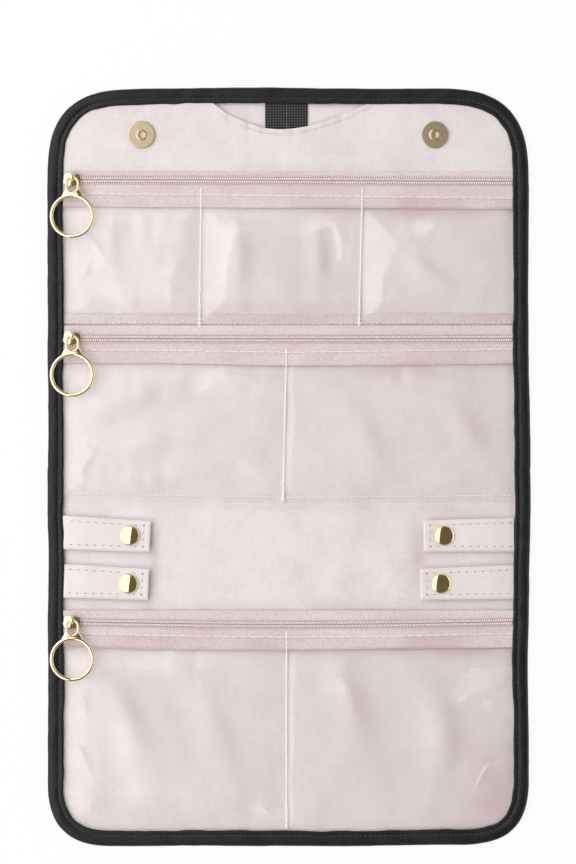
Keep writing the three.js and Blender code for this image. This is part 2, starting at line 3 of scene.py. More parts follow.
import bpy
import numpy as np
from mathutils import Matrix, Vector


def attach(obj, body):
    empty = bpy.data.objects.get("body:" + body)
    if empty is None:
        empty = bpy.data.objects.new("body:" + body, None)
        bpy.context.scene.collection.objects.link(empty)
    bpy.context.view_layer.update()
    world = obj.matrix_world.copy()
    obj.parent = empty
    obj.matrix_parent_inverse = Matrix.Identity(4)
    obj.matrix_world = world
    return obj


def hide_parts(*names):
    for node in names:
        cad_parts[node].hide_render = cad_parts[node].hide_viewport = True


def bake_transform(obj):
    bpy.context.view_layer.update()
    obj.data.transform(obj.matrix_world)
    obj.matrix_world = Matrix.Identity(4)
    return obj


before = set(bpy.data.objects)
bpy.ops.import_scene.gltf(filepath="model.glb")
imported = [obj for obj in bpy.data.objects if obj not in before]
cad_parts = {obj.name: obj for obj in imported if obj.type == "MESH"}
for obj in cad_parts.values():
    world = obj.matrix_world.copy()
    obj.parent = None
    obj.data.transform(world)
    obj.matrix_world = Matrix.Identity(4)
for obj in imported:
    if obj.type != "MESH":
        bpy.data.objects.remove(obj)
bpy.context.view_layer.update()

# Everything below is laid out in millimetres in the row frame and turned into metres when a mesh is made.
MM = 0.001
PI = math.pi

# The camera looks straight down on the open case, as in the photograph
SENSOR, LENS = 36, 157.2
NEAREST, FARTHEST = 0.05, 50
CAMERA_PLACE = (0, 0.0182, 2.0)
camera_data = bpy.data.cameras.new("camera")
camera_data.sensor_fit = "AUTO"
camera_data.sensor_width = SENSOR
camera_data.lens = LENS
camera_data.clip_start, camera_data.clip_end = NEAREST, FARTHEST
camera = bpy.data.objects.new("camera", camera_data)
camera.location = CAMERA_PLACE
bpy.context.scene.collection.objects.link(camera)
bpy.context.scene.camera = camera

# Outline and folds
HALF_WIDTH = 127.5
TOP_Y = 200.5
BOTTOM_Y = -200.7
FOLD_Y = 74.0
BINDING_WIDTH = 8.3
CLOTH_INSET = 1.6  # how far the cloth's edge lies inside the binding's
INNER_X = 119.2  # the binding's inner edge
FLANGE_X = 124.3  # the end of tapes and films, under the binding

# Heights
LINING_TOP = 2.6
TAPE_TOP = 4.2
FILM_FLANGE = 3.6  # the film where it is sewn down
FILM_FLAT = 7.65  # the film over a pocket
FILM_THICK = 0.3
FILM_CEILING = 7.92
PIVOT_Z = 7.682

# The pulls at rest
PULL_TILT = math.radians(-2.072)
SLIDER_X = -114.0
PIVOT_OFFSET = 1.2

# Where each zip lies, and how far its upper tape reaches above its chain
ZIP_Y = {"top": 151.6, "middle": 67.8, "bottom": -82.4}
TAPE_RISE = {"top": 4.9, "middle": 6.7, "bottom": 6.2}
SEAM_X = np.linspace(-118.6, 118.6, 120)  # places along a seam across the case

RIB_X, RIB_Y = 1.42, 1.4  # the weave of the webbing
TAB_ROOT = 118.5  # where the tabs are sewn down
CAP_INSET = 11  # from a tab's free end to its snap
# Each tab: side, height of its root, length and lean in degrees
TABS = {
    "left_upper": (-1, -34.9, 45.7, 2.7),
    "left_lower": (-1, -60.5, 44.9, 2.5),
    "right_upper": (1, -36.1, 46.8, 0.8),
    "right_lower": (1, -61.1, 48.5, 1.4),
}


# ---------------------------------------------------------------- noise and curves

def fade(t):
    """A smooth step from 0 to 1 for noise."""
    return t * t * t * (t * (6 * t - 15) + 10)


def value_noise(x, y, seed):
    """Smooth noise from -1 to 1 with one cell per unit."""
    table = np.random.default_rng(seed).uniform(-1, 1, (64, 64))
    x, y = np.broadcast_arrays(np.asarray(x, float), np.asarray(y, float))
    xi, yi = np.floor(x).astype(int), np.floor(y).astype(int)
    sx, sy = fade(x - xi), fade(y - yi)
    low, high = (table[(yi + j) % 64, xi % 64] * (1 - sx) + table[(yi + j) % 64, (xi + 1) % 64] * sx for j in (0, 1))
    return low * (1 - sy) + high * sy


def fbm(x, y, size, octaves, seed):
    """Layered noise whose largest features measure size."""
    total, weight, reach = 0, 1.0, 0
    for octave in range(octaves):
        scale = 2 ** octave / size
        layer = value_noise(np.asarray(x) * scale + 17.3 * octave, np.asarray(y) * scale, seed + octave)
        total = total + weight * layer
        reach += weight
        weight *= 0.5
    return total / reach


def smoothstep(low, high, value):
    """0 up to low and 1 from high on, or the other way round where low is the larger."""
    t = np.clip((np.asarray(value, float) - low) / (high - low), 0, 1)
    return t * t * (3 - 2 * t)


def bell(distance, width):
    """1 where the distance is nothing, dying away over the width."""
    return np.exp(-(distance / width) ** 2)


def softened(table, at, dense, window, beyond=None):
    """A table of (place, value) as a line with rounded corners, read at some places."""
    places, values = zip(*table)
    values = np.pad(np.interp(dense, places, values, left=beyond, right=beyond), window, mode="edge")
    count = 2 * window + 1
    soft = np.convolve(values, np.ones(count) / count, mode="valid")
    return np.interp(at, dense, soft, left=beyond, right=beyond)


# ---------------------------------------------------------------- materials

BANDS_PER_MM = 314.16  # the wave texture's scale for bands 1 mm apart


def add_node(tree, kind, inputs=None, **settings):
    """A new node; each input is a socket to link or a plain value."""
    node = tree.nodes.new(kind)
    for key, value in settings.items():
        setattr(node, key, value)
    for key, value in (inputs or {}).items():
        if isinstance(value, bpy.types.NodeSocket):
            tree.links.new(value, node.inputs[key])
        else:
            node.inputs[key].default_value = value
    return node


def material(name, base, roughness, metallic=0.0, **sockets):
    """A Principled material with plain values on its sockets."""
    made = bpy.data.materials.new(name)
    made.use_nodes = True
    shader = made.node_tree.nodes["Principled BSDF"]
    shader.inputs["Base Color"].default_value = (*base, 1)
    shader.inputs["Roughness"].default_value = roughness
    shader.inputs["Metallic"].default_value = metallic
    for socket, value in sockets.items():
        shader.inputs[socket.replace("_", " ")].default_value = value
    return made


class Nodes:
    """Short forms for adding and joining the nodes of one material."""

    def __init__(self, made):
        self.made = made
        self.tree = made.node_tree
        self.shader = self.tree.nodes["Principled BSDF"]
        self.coords = self.tree.nodes.new("ShaderNodeTexCoord").outputs["Object"]

    def add(self, kind, inputs=None, **settings):
        return add_node(self.tree, kind, inputs, **settings)

    def stretched(self, x, y, z):
        return self.add("ShaderNodeMapping", {"Vector": self.coords, "Scale": (x, y, z)}).outputs["Vector"]

    def noise(self, size_mm, detail=2.0, roughness=0.5, stretch=None):
        vector = self.coords if stretch is None else self.stretched(*stretch)
        inputs = {"Vector": vector, "Scale": 1000 / size_mm, "Detail": detail, "Roughness": roughness}
        return self.add("ShaderNodeTexNoise", inputs).outputs["Fac"]

    def bands(self, period_mm, direction, distortion=0.0, vector=None):
        vector = vector or self.coords
        inputs = {"Vector": vector, "Scale": BANDS_PER_MM / period_mm, "Distortion": distortion}
        return self.add("ShaderNodeTexWave", inputs, bands_direction=direction).outputs["Fac"]

    def cells(self, size_mm, feature="F1"):
        inputs = {"Vector": self.coords, "Scale": 1000 / size_mm}
        return self.add("ShaderNodeTexVoronoi", inputs, feature=feature).outputs["Distance"]

    def painted(self, name):
        """A value painted on the mesh."""
        return self.add("ShaderNodeAttribute", attribute_name=name).outputs["Fac"]

    def math(self, operation, a, b=0.0):
        return self.add("ShaderNodeMath", {0: a, 1: b}, operation=operation).outputs[0]

    def sum(self, *parts):
        """The sum of values, each with its weight."""
        terms = [value if weight == 1 else self.math("MULTIPLY", value, weight) for value, weight in parts]
        total = terms[0]
        for term in terms[1:]:
            total = self.math("ADD", total, term)
        return total

    def ramp(self, value, low, high, out_low=0.0, out_high=1.0):
        inputs = {"Value": value, "From Min": low, "From Max": high, "To Min": out_low, "To Max": out_high}
        return self.add("ShaderNodeMapRange", inputs, clamp=True).outputs["Result"]

    def mix(self, factor, a, b):
        a, b = (v if isinstance(v, bpy.types.NodeSocket) else (*v, 1) for v in (a, b))
        return self.add("ShaderNodeMix", {0: factor, 6: a, 7: b}, data_type="RGBA").outputs[2]

    def colour(self, value):
        self.tree.links.new(value, self.shader.inputs["Base Color"])

    def rough(self, value):
        self.tree.links.new(value, self.shader.inputs["Roughness"])

    def bump(self, height, depth_mm, strength=1.0):
        inputs = {"Height": height, "Distance": depth_mm * MM, "Strength": strength}
        self.tree.links.new(self.add("ShaderNodeBump", inputs).outputs["Normal"], self.shader.inputs["Normal"])


def satin(name, pale, deep, roughness=0.42):
    """Pale satin: fine warp lines, soft slubs, mottling and faint pinker blotches, with a painted shade of deeper pink
    where the mesh carries it.
    """
    n = Nodes(material(name, pale, roughness, Sheen_Weight=0.12, Sheen_Roughness=0.4, Specular_IOR_Level=0.75))
    blotch = n.noise(30, 3, 0.6)
    mottle = n.noise(1.9, 3, 0.7)
    slub = n.noise(1.0, 2, 0.6, (1.0, 0.12, 1.0))
    cross = n.noise(1.0, 2, 0.6, (0.16, 1.0, 1.0))
    fine = n.sum((slub, 0.5), (cross, 0.5))
    shade = n.sum((mottle, 0.5), (fine, 0.5))
    shade = n.sum((blotch, 0.45), (shade, 0.55))
    # Painted shade: a deeper pink mixed in by the value painted on the mesh
    n.colour(n.mix(n.painted("deep"), n.mix(n.ramp(shade, 0.41, 0.59), pale, deep), (0.62, 0.43, 0.45)))
    n.rough(n.ramp(blotch, 0.3, 0.7, roughness - 0.05, roughness + 0.08))
    weave = n.sum((n.bands(0.42, "X", 0.6), 1), (n.bands(0.36, "Y", 0.6), 1))
    n.bump(n.sum((weave, 0.4), (fine, 1), (mottle, 1)), 0.09, 0.6)
    return n.made


def woven(name, pale, deep, period, depth=0.06, roughness=0.75, sheen=0.2, blotch=0.35):
    """Twill: slanted ribs, flecked yarn, slow changes of depth in the dye, and a deeper pink painted on the mesh that
    is partly painted shade.
    """
    n = Nodes(material(name, pale, roughness, Sheen_Weight=sheen, Sheen_Roughness=0.5))
    slant = n.bands(period * 1.28, "DIAGONAL", 1.2, n.stretched(1.0, 0.8, 0.0))
    picks = n.bands(period * 0.8, "Y", 0.8)
    fleck = n.noise(1.3, 3, 0.65)
    slow = n.noise(26, 3, 0.55, (0.5, 1.6, 1.0))
    tone = n.sum((slant, 0.06), (fleck, 0.6), (slow, blotch))
    # Painted shade, with some random tone: a deeper pink mixed in by the value painted on the mesh
    n.colour(n.mix(n.painted("deep"), n.mix(n.ramp(tone, 0.36, 0.64), pale, deep), (0.5, 0.3, 0.31)))
    n.rough(n.ramp(fleck, 0.3, 0.7, roughness - 0.08, roughness + 0.1))
    n.bump(n.sum((slant, 0.35), (picks, 0.3), (fleck, 1.4)), depth, 0.8)
    return n.made


def metal(name, pale, deep, roughness, brushed=False, wear=0.06):
    """Plated metal: cloudy tone and a fine grit, drawn out where it is brushed."""
    n = Nodes(material(name, pale, roughness, 1.0))
    cloud = n.noise(5, 3, 0.5)
    grit = n.noise(0.5, 2, 0.6, (1.0, 0.25, 1.0) if brushed else None)
    n.colour(n.mix(n.ramp(n.sum((cloud, 0.6), (grit, 0.4)), 0.3, 0.7), deep, pale))
    n.rough(n.ramp(n.sum((cloud, 0.5), (grit, 0.5)), 0.25, 0.75, roughness, roughness + wear))
    n.bump(grit, 0.004 if brushed else 0.0015, 0.6)
    return n.made


def thread(name, pale, deep, roughness=0.6):
    """Twisted thread: slanted lines of the plies."""
    n = Nodes(material(name, pale, roughness, Sheen_Weight=0.3, Sheen_Roughness=0.4))
    turns = n.bands(0.5, "DIAGONAL", 1.0)
    n.colour(n.mix(n.ramp(turns, 0.1, 0.8), deep, pale))
    n.bump(turns, 0.04, 0.8)
    return n.made


def clear_film():
    """Soft clear film: glossy, with faint waves and scuffs; paler and a little rougher where it clings to the satin,
    the paler tint a painted glare.
    """
    n = Nodes(material("clear_film", (0.95, 0.93, 0.93), 0.18, IOR=1.46, Transmission_Weight=1.0))
    waves = n.noise(30, 2, 0.5)
    scuff = n.noise(1.8, 3, 0.65)
    # Painted glare: where the film clings, its tint is paler
    cling_glare = n.painted("cling_glare")
    loose = n.mix(n.ramp(waves, 0.3, 0.7), (0.935, 0.915, 0.915), (0.965, 0.95, 0.95))
    n.colour(n.mix(cling_glare, loose, (0.99, 0.985, 0.98)))
    n.rough(n.sum((n.ramp(waves, 0.3, 0.7, 0.16, 0.19), 1), (scuff, 0.02), (cling_glare, 0.02)))
    n.bump(waves, 0.12, 0.3)
    return n.made


def leather():
    """Leather-like sheet: a grain of small cells."""
    n = Nodes(material("tab_leather", (0.83, 0.75, 0.745), 0.5))
    grain = n.ramp(n.cells(0.7, "DISTANCE_TO_EDGE"), 0.0, 0.25)
    tone = n.noise(9, 3, 0.5)
    n.colour(n.mix(n.ramp(tone, 0.3, 0.7), (0.83, 0.745, 0.735), (0.86, 0.79, 0.78)))
    n.rough(n.ramp(tone, 0.3, 0.7, 0.42, 0.55))
    n.bump(n.sum((grain, 1), (tone, 0.5)), 0.03, 0.5)
    return n.made


def ribbed_webbing():
    """Black webbing with a fine grid of paler picks."""
    n = Nodes(material("black_webbing", (0.03, 0.028, 0.029), 0.65, Specular_IOR_Level=0.3))
    ribs = n.bands(RIB_X, "X")
    picks = n.bands(RIB_Y, "Y")
    grid = n.sum((n.math("MULTIPLY", ribs, picks), 1), (picks, 0.35))
    n.colour(n.mix(n.ramp(grid, 0.35, 1.2), (0.008, 0.0075, 0.008), (0.15, 0.145, 0.145)))
    n.bump(n.sum((grid, 1), (n.noise(0.6, 2), 0.3)), 0.2, 0.8)
    return n.made


def coil():
    """Nylon coil: pale on the crowns of its turns, with a painted shade of deeper pink low down between them."""
    n = Nodes(material("zip_coil", (0.94, 0.86, 0.86), 0.3))
    level = n.add("ShaderNodeSeparateXYZ", {"Vector": n.coords}).outputs["Z"]
    crown = n.mix(n.ramp(n.noise(2.0, 2), 0.3, 0.7), (0.97, 0.88, 0.88), (1.0, 0.95, 0.95))
    # Painted shade: low on the teeth, between the crowns, a darker, deeper pink
    n.colour(n.mix(n.ramp(level, (TAPE_TOP + 0.6) * MM, (TAPE_TOP + 0.95) * MM), (0.77, 0.56, 0.57), crown))
    n.bump(n.noise(0.3, 2), 0.02, 0.4)
    return n.made


def binding_cloth():
    """Black bias tape: fine threads and a faint cloudiness."""
    n = Nodes(material("binding_cloth", (0.012, 0.0115, 0.0125), 0.4, Specular_IOR_Level=0.28))
    threads = n.sum((n.bands(0.5, "X", 0.8), 1), (n.bands(0.45, "Y", 0.8), 1))
    cloud = n.noise(11, 3, 0.6)
    n.colour(n.mix(n.ramp(cloud, 0.3, 0.7), (0.0085, 0.008, 0.0088), (0.0145, 0.0138, 0.015)))
    n.rough(n.ramp(cloud, 0.3, 0.7, 0.34, 0.46))
    n.bump(n.sum((threads, 0.4), (n.noise(3.5, 3, 0.6), 1.2)), 0.06, 0.6)
    return n.made


def foam():
    """Open foam: small pores."""
    n = Nodes(material("foam_padding", (0.68, 0.65, 0.6), 0.95))
    pores = n.cells(0.8)
    n.colour(n.mix(n.ramp(pores, 0.1, 0.6), (0.62, 0.59, 0.54), (0.72, 0.69, 0.65)))
    n.bump(pores, 0.15, 0.8)
    return n.made


SATIN = satin("satin_lining", (0.87, 0.805, 0.8), (0.79, 0.7, 0.7))
TAPE = woven("zip_tape", (0.83, 0.725, 0.73), (0.67, 0.53, 0.54), 0.75)
COIL = coil()
SHELL = woven("shell_cloth", (0.022, 0.02, 0.022), (0.012, 0.0115, 0.0125), 0.6, 0.08, 0.8, 0.1)
BINDING = binding_cloth()
WEBBING = ribbed_webbing()
LEATHER = leather()
FILM = clear_film()
FOAM = foam()
GOLD = metal("gold_metal", (0.95, 0.79, 0.5), (0.9, 0.71, 0.4), 0.06, wear=0.05)
CAP_GOLD = metal("cap_gold_metal", (0.95, 0.74, 0.39), (0.9, 0.65, 0.3), 0.06, wear=0.05)
PALE_GOLD = metal("pale_gold_metal", (0.66, 0.53, 0.36), (0.57, 0.44, 0.28), 0.3, True)
STEEL = metal("plated_steel", (0.75, 0.75, 0.76), (0.66, 0.66, 0.67), 0.25)
WHITE_THREAD = thread("white_thread", (0.99, 0.955, 0.95), (0.96, 0.9, 0.895))
PINK_THREAD = thread("pink_thread", (0.84, 0.76, 0.755), (0.72, 0.61, 0.61))
GREY_THREAD = thread("grey_thread", (0.06, 0.057, 0.06), (0.02, 0.019, 0.02))
# Painted shade in the needle holes of the tabs
HOLE_SHADE = thread("needle_hole_shade", (0.42, 0.29, 0.3), (0.3, 0.2, 0.21), 0.8)


# ---------------------------------------------------------------- mesh building

def points_of(x, y, z):
    """Points from their three coordinates, any of which may be one number for all."""
    return np.stack(np.broadcast_arrays(x, y, z), -1).astype(float)


def signed_volume(points, groups):
    """Six times the volume within some faces, negative where they face inward."""
    total = 0.0
    for faces in groups:
        for i in range(1, faces.shape[1] - 1):
            turned = np.cross(points[faces[:, i]], points[faces[:, i + 1]])
            total += float((points[faces[:, 0]] * turned).sum())
    return total


def ring_faces(count, sides, closed=False):
    """Faces that join count rings of points, and the caps at both ends unless it closes on itself."""
    index = np.arange(count * sides).reshape(count, sides)
    after = np.roll(index, -1, axis=0) if closed else index[1:]
    before = index if closed else index[:-1]
    quads = np.stack([before, np.roll(before, -1, axis=1), np.roll(after, -1, axis=1), after], -1).reshape(-1, 4)
    return [quads] if closed else [quads, index[:1, ::-1], index[-1:]]


class Shape:
    """Collects closed bodies of one piece, in millimetres, each facing outward."""

    def __init__(self):
        self.points, self.faces, self.count = [], [], 0

    def add(self, points, groups):
        return self.copies(np.asarray(points, float).reshape(1, -1, 3), groups)

    def copies(self, places, groups):
        """The same body at many places, given as an array of copies by points by 3."""
        groups = [np.asarray(faces, int) for faces in groups]
        if signed_volume(places[0] - places[0].mean(0), groups) < 0:
            groups = [faces[:, ::-1] for faces in groups]
        starts = self.count + np.arange(len(places)) * places.shape[1]
        for faces in groups:
            self.faces += (faces[None] + starts[:, None, None]).reshape(-1, faces.shape[1]).tolist()
        self.points.append(places.reshape(-1, 3))
        self.count += places.shape[0] * places.shape[1]
        return self

    def slab(self, x, y, top, bottom):
        """A sheet between two heights over a grid of places."""
        x, y, top, bottom = np.broadcast_arrays(x, y, top, bottom)
        rows, columns = x.shape
        index = np.arange(rows * columns).reshape(rows, columns)
        up = np.stack([index[:-1, :-1], index[:-1, 1:], index[1:, 1:], index[1:, :-1]], -1).reshape(-1, 4)
        under = rows * columns
        edge = np.concatenate([index[0, :], index[1:, -1], index[-1, -2::-1], index[-2:0:-1, 0]])
        after = np.roll(edge, -1)
        sides = np.stack([after, edge, edge + under, after + under], -1)
        points = np.concatenate([points_of(x, y, z).reshape(-1, 3) for z in (top, bottom)])
        return self.add(points, [up, up[:, ::-1] + under, sides])

    def loft(self, rings, closed=False):
        """A solid that joins rings of points one after the other."""
        rings = np.asarray(rings, float)
        return self.add(rings, ring_faces(rings.shape[0], rings.shape[1], closed))

    def turned(self, profile, centre, segments=48, lean=(0.0, 0.0)):
        """A turned solid: profile of (radius, height) from the axis below to the axis above."""
        angles = np.linspace(0, 2 * PI, segments, endpoint=False)
        inner = np.array(profile[1:-1])
        rings = np.stack([inner[:, :1] * np.cos(angles), inner[:, :1] * np.sin(angles),
                          np.repeat(inner[:, 1:], segments, axis=1)], -1).reshape(-1, 3)
        points = np.concatenate([rings, [(0, 0, profile[0][1]), (0, 0, profile[-1][1])]])
        points[:, 2] += points[:, 0] * lean[0] + points[:, 1] * lean[1]
        quads = ring_faces(len(inner), segments)[0]
        first = np.arange(segments)
        last = first + (len(inner) - 1) * segments
        low, high = len(rings), len(rings) + 1
        fans = [np.stack([np.roll(first, -1), first, np.full(segments, low)], -1),
                np.stack([last, np.roll(last, -1), np.full(segments, high)], -1)]
        return self.add(points + np.asarray(centre, float), [quads, *fans])

    def stitches(self, a, b, radius, flat=0.8, dip=0.0):
        """Plump threads from each a to each b, with rounded ends that dip into the cloth."""
        a, b = np.atleast_2d(np.asarray(a, float)), np.atleast_2d(np.asarray(b, float))
        along = (b - a) / np.linalg.norm(b - a, axis=1)[:, None]
        side = np.cross(along, (0, 0, 1))
        side /= np.linalg.norm(side, axis=1)[:, None]
        up = np.cross(side, along)
        t = np.array([0.0, 0.1, 0.3, 0.7, 0.9, 1.0])[None, :, None, None]
        width = np.array([0.35, 0.8, 1.0, 1.0, 0.8, 0.35])[None, :, None, None] * radius
        turn = np.linspace(0, 2 * PI, 6, endpoint=False)[None, None, :, None]
        start, reach, side, up = (v[:, None, None, :] for v in (a, b - a, side, up))
        places = start + reach * t + side * width * np.cos(turn) + up * width * flat * np.sin(turn)
        places[..., 2] -= (dip * (2 * t - 1) ** 4)[..., 0]
        return self.copies(places.reshape(len(a), -1, 3), ring_faces(6, 6))

    def threads(self, places, reach, radius, **shape):
        """Stitches that reach as far to both sides of their places."""
        return self.stitches(places - np.asarray(reach), places + np.asarray(reach), radius, **shape)


def piece(name, shape, finish, slot, body=None, blend=None, replaces=(), crease=35):
    """Makes the object and ties it to its body; one that spans a joint stays untied, its place baked into its mesh."""
    mesh = bpy.data.meshes.new(name)
    mesh.from_pydata((np.concatenate(shape.points) * MM).tolist(), [], shape.faces)
    mesh.validate()
    mesh.polygons.foreach_set("use_smooth", [True] * len(mesh.polygons))
    mesh.set_sharp_from_angle(angle=math.radians(crease))
    mesh.materials.append(finish)
    mesh.update()
    made = bpy.data.objects.new(name, mesh)
    bpy.context.scene.collection.objects.link(made)
    if replaces:
        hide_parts(*replaces)
    if blend:
        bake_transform(made)
    else:
        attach(made, body)
    return made


def paint(made, name, values):
    """Store a value per point on a slab: the same above and below."""
    layer = made.data.attributes.new(name, "FLOAT", "POINT")
    layer.data.foreach_set("value", np.tile(values.ravel(), 2).astype(np.float32))


def resample(points, step):
    """The same line with its points the step apart."""
    points = np.asarray(points, float)
    lengths = np.concatenate([[0], np.cumsum(np.linalg.norm(np.diff(points, axis=0), axis=1))])
    count = max(int(round(lengths[-1] / step)), 1) + 1
    at = np.linspace(0, lengths[-1], count)
    return np.stack([np.interp(at, lengths, points[:, k]) for k in range(points.shape[1])], 1)


# ---------------------------------------------------------------- the case's edge

# How far the cloth edge strays from the plain outline: (place along the edge, outward offset)
LEFT_STRAY = [
    (-200, -0.3), (-150, -0.25), (-120, -0.6), (-76, -0.2), (-55, -0.85), (-35, -0.5), (-15, 0.0),
    (5, -0.5), (30, -0.75), (60, -0.15), (90, -0.4), (150, -0.05), (200, 0.0),
]
RIGHT_STRAY = [
    (-200, -0.2), (-160, 0.2), (-130, -0.25), (-97, -0.6), (-76, -0.15), (-60, 0.35), (-35, 0.8),
    (0, 0.95), (20, 0.8), (40, 0.35), (70, -0.15), (110, -0.1), (150, 0.0), (200, -0.2),
]
TOP_STRAY = [
    (-120, -0.5), (-85, -0.65), (-60, -0.3), (-30, 0.0), (0, 0.0), (20, -0.4), (50, -0.55), (85, -0.4), (120, 0.2),
]
BOTTOM_STRAY = [
    (-120, 0.5), (-95, 0.35), (-60, 0.0), (0, 0.2), (25, 0.5), (50, 0.2), (85, -0.35), (120, -0.5),
]
# The rounded corners of each end: size, the power of their curve, and the end's height
CORNER = {1: (50.0, 2.79, TOP_Y), -1: (38.0, 2.83, BOTTOM_Y)}
BEND_HALF, BEND_STEP = 8.4, 0.7  # the closer rows of a grid round each fold


def stray(table, at):
    """The offset that a table gives at some places along the edge."""
    return softened(table, at, np.linspace(table[0][0], table[-1][0], 200), 6)


def normals(path, end):
    """Directions in from the edge, level at both ends of the path."""
    tangent = np.gradient(path, axis=0)
    tangent /= np.linalg.norm(tangent, axis=1)[:, None]
    inward = np.stack([tangent[:, 1], -tangent[:, 0]], 1) * end
    inward[0], inward[-1] = (1, 0), (-1, 0)
    return inward


def case_edge(end, step):
    """The outer edge from the left side at Y = 0 round one end to the right side, with inward normals."""
    size, power, far = CORNER[end]
    t = np.linspace(0, PI / 2, 400)
    dx = size * (1 - np.cos(t) ** (2 / power))
    dy = size * (1 - np.sin(t) ** (2 / power))
    left = np.stack([dx - HALF_WIDTH, end * (abs(far) - dy)], 1)
    right = left[::-1] * [-1, 1]
    path = resample(np.concatenate([[(-HALF_WIDTH, 0)], left, right, [(HALF_WIDTH, 0)]]), step)
    inward = normals(path, end)
    x, y = path.T
    side = np.where(x < 0, stray(LEFT_STRAY, y), stray(RIGHT_STRAY, y))
    far_side = stray(TOP_STRAY if end > 0 else BOTTOM_STRAY, x)
    wander = 0.22 * fbm(x + 31 * end, y, 26, 2, 5)
    out = side * inward[:, 0] ** 2 + far_side * inward[:, 1] ** 2 + wander
    out = np.where(np.abs(y) < 0.5, side, out)
    path = path - inward * out[:, None]
    return path, normals(path, end)


def half_width(y, inset):
    """How far the plain outline, inset, reaches from the middle at height y."""
    y = np.asarray(y, float)
    widest = HALF_WIDTH - inset
    reach = np.full(y.shape, widest)
    for end, (size, power, far) in CORNER.items():
        size = size - inset
        depth = (abs(far) - inset) - end * y
        share = np.clip(1 - depth / size, 0, 1)
        bite = size * (1 - (1 - share ** power) ** (1 / power))
        reach = np.where(depth < size, np.minimum(reach, widest - bite), reach)
    return reach


def inner_distance(x, y):
    """Distance in from the binding's inner edge, negative under the binding."""
    best = np.full(x.shape, 1e9)
    for end in (1, -1):
        path, inward = case_edge(end, 5.0)
        edge = path + inward * BINDING_WIDTH
        dx = x[..., None] - edge[:, 0]
        dy = y[..., None] - edge[:, 1]
        gap = np.hypot(dx, dy)
        nearest = gap.argmin(-1)
        ahead, aside = (np.take_along_axis(v, nearest[..., None], -1)[..., 0] for v in (dx, dy))
        side = ahead * inward[nearest, 0] + aside * inward[nearest, 1]
        best = np.minimum(best, np.where(side >= 0, gap.min(-1), -gap.min(-1)))
    return best


def scanlines(low, high, inset, step_x, step_y):
    """A grid over the case between two heights, closer where the case folds, its ends on the inset outline."""
    rows = max(int(round((high - low) / step_y)), 1) + 1
    ys = np.linspace(low, high, rows)
    near = np.arange(FOLD_Y - BEND_HALF, FOLD_Y + BEND_HALF + 0.1, BEND_STEP)
    bend = np.concatenate([-near, near])
    kept = np.abs(np.abs(ys) - FOLD_Y) > BEND_HALF + 0.4
    kept[[0, -1]] = True
    ys = np.sort(np.concatenate([ys[kept], bend[(bend > low + 0.3) & (bend < high - 0.3)]]))
    count = int(round(2 * HALF_WIDTH / step_x)) + 1
    x = np.linspace(-1, 1, count) * half_width(ys, inset)[:, None]
    return x, np.repeat(ys[:, None], count, axis=1)


def grid_between(xs, low, high, rows):
    """A grid whose rows pass from one line across the case to another."""
    share = np.linspace(0, 1, rows)[:, None]
    return np.repeat(xs[None, :], rows, axis=0), low * (1 - share) + high * share


def polyline_distance(x, y, points):
    """Distance to a line of points, and the share of the way along it."""
    best = np.full(x.shape, 1e9)
    share = np.zeros(x.shape)
    count = len(points) - 1
    for k, ((x0, y0), (x1, y1)) in enumerate(zip(points, points[1:])):
        dx, dy = x1 - x0, y1 - y0
        t = np.clip(((x - x0) * dx + (y - y0) * dy) / (dx * dx + dy * dy), 0, 1)
        gap = np.hypot(x - x0 - t * dx, y - y0 - t * dy)
        closer = gap < best
        best = np.where(closer, gap, best)
        share = np.where(closer, (k + t) / count, share)
    return best, share


def soft_line(points, steps=5):
    """The same line with its corners rounded."""
    points = np.asarray(points, float)
    t = np.linspace(0, len(points) - 1, (len(points) - 1) * steps + 1)
    dense = np.stack([np.interp(t, np.arange(len(points)), points[:, k]) for k in (0, 1)], 1)
    inner = (dense[:-4] + dense[1:-3] + dense[2:-2] + dense[3:-1] + dense[4:]) / 5
    return np.concatenate([dense[:1], inner, dense[-1:]])


# The white stitch line along each zip and the lower edge of its tape, as points across the case
STITCH_LINE = {
    "top": [(-119, 144.2), (-60, 143.9), (0, 143.2), (60, 142.6), (119, 141.9)],
    "middle": [(-119, 61.8), (-60, 61.4), (0, 60.3), (60, 61.2), (119, 62.1)],
    "bottom": [(-119, -88.2), (-60, -89.6), (0, -90.4), (60, -89.8), (119, -88.3)],
}
TAPE_EDGE = {
    "top": [(-119, 137.6), (-60, 137.2), (0, 136.9), (60, 136.6), (119, 136.2)],
    "middle": [(-119, 54.8), (-60, 54.6), (0, 53.4), (60, 53.6), (119, 54.6)],
    "bottom": [(-119, -95.2), (-60, -97.0), (0, -97.2), (60, -96.2), (119, -95.6)],
}


def line_at(table, x):
    """The height of such a line at some places across the case."""
    return softened(table, x, np.linspace(-125, 125, 126), 8)


# ---------------------------------------------------------------- lining, padding and shell

# Broad folds of the lining: points of the crest, height and half width
FOLDS = [
    ([(-27.8, 133), (-26.5, 110), (-27, 86)], 0.9, 6), ([(11.3, 136), (17, 112), (14.6, 87)], 0.7, 5),
    ([(59, 123), (72, 100), (102, 87)], 0.6, 6), ([(-90, 133), (-96, 113), (-86, 87)], 0.5, 6),
    ([(-113, 27), (-86, 37), (-60, 44)], 0.9, 7), ([(-106, 1), (-80, 11), (-50, 14)], 0.6, 7),
    ([(16, 47), (39, 21), (53, -12)], 0.6, 8), ([(79, 44), (95, 20), (106, 1)], 0.6, 7),
    ([(-60, -46), (-20, -52), (23, -46)], 0.3, 8), ([(35, -34), (55, -50), (58, -66)], 0.3, 6),
    ([(-106, -99), (-83, -132), (-76, -178)], 0.9, 8), ([(-60, -99), (-40, -132), (-27, -181)], 0.7, 8),
    ([(20, -96), (30, -118), (46, -165)], 0.9, 8), ([(59, -99), (86, -135), (73, -181)], 0.9, 8),
]
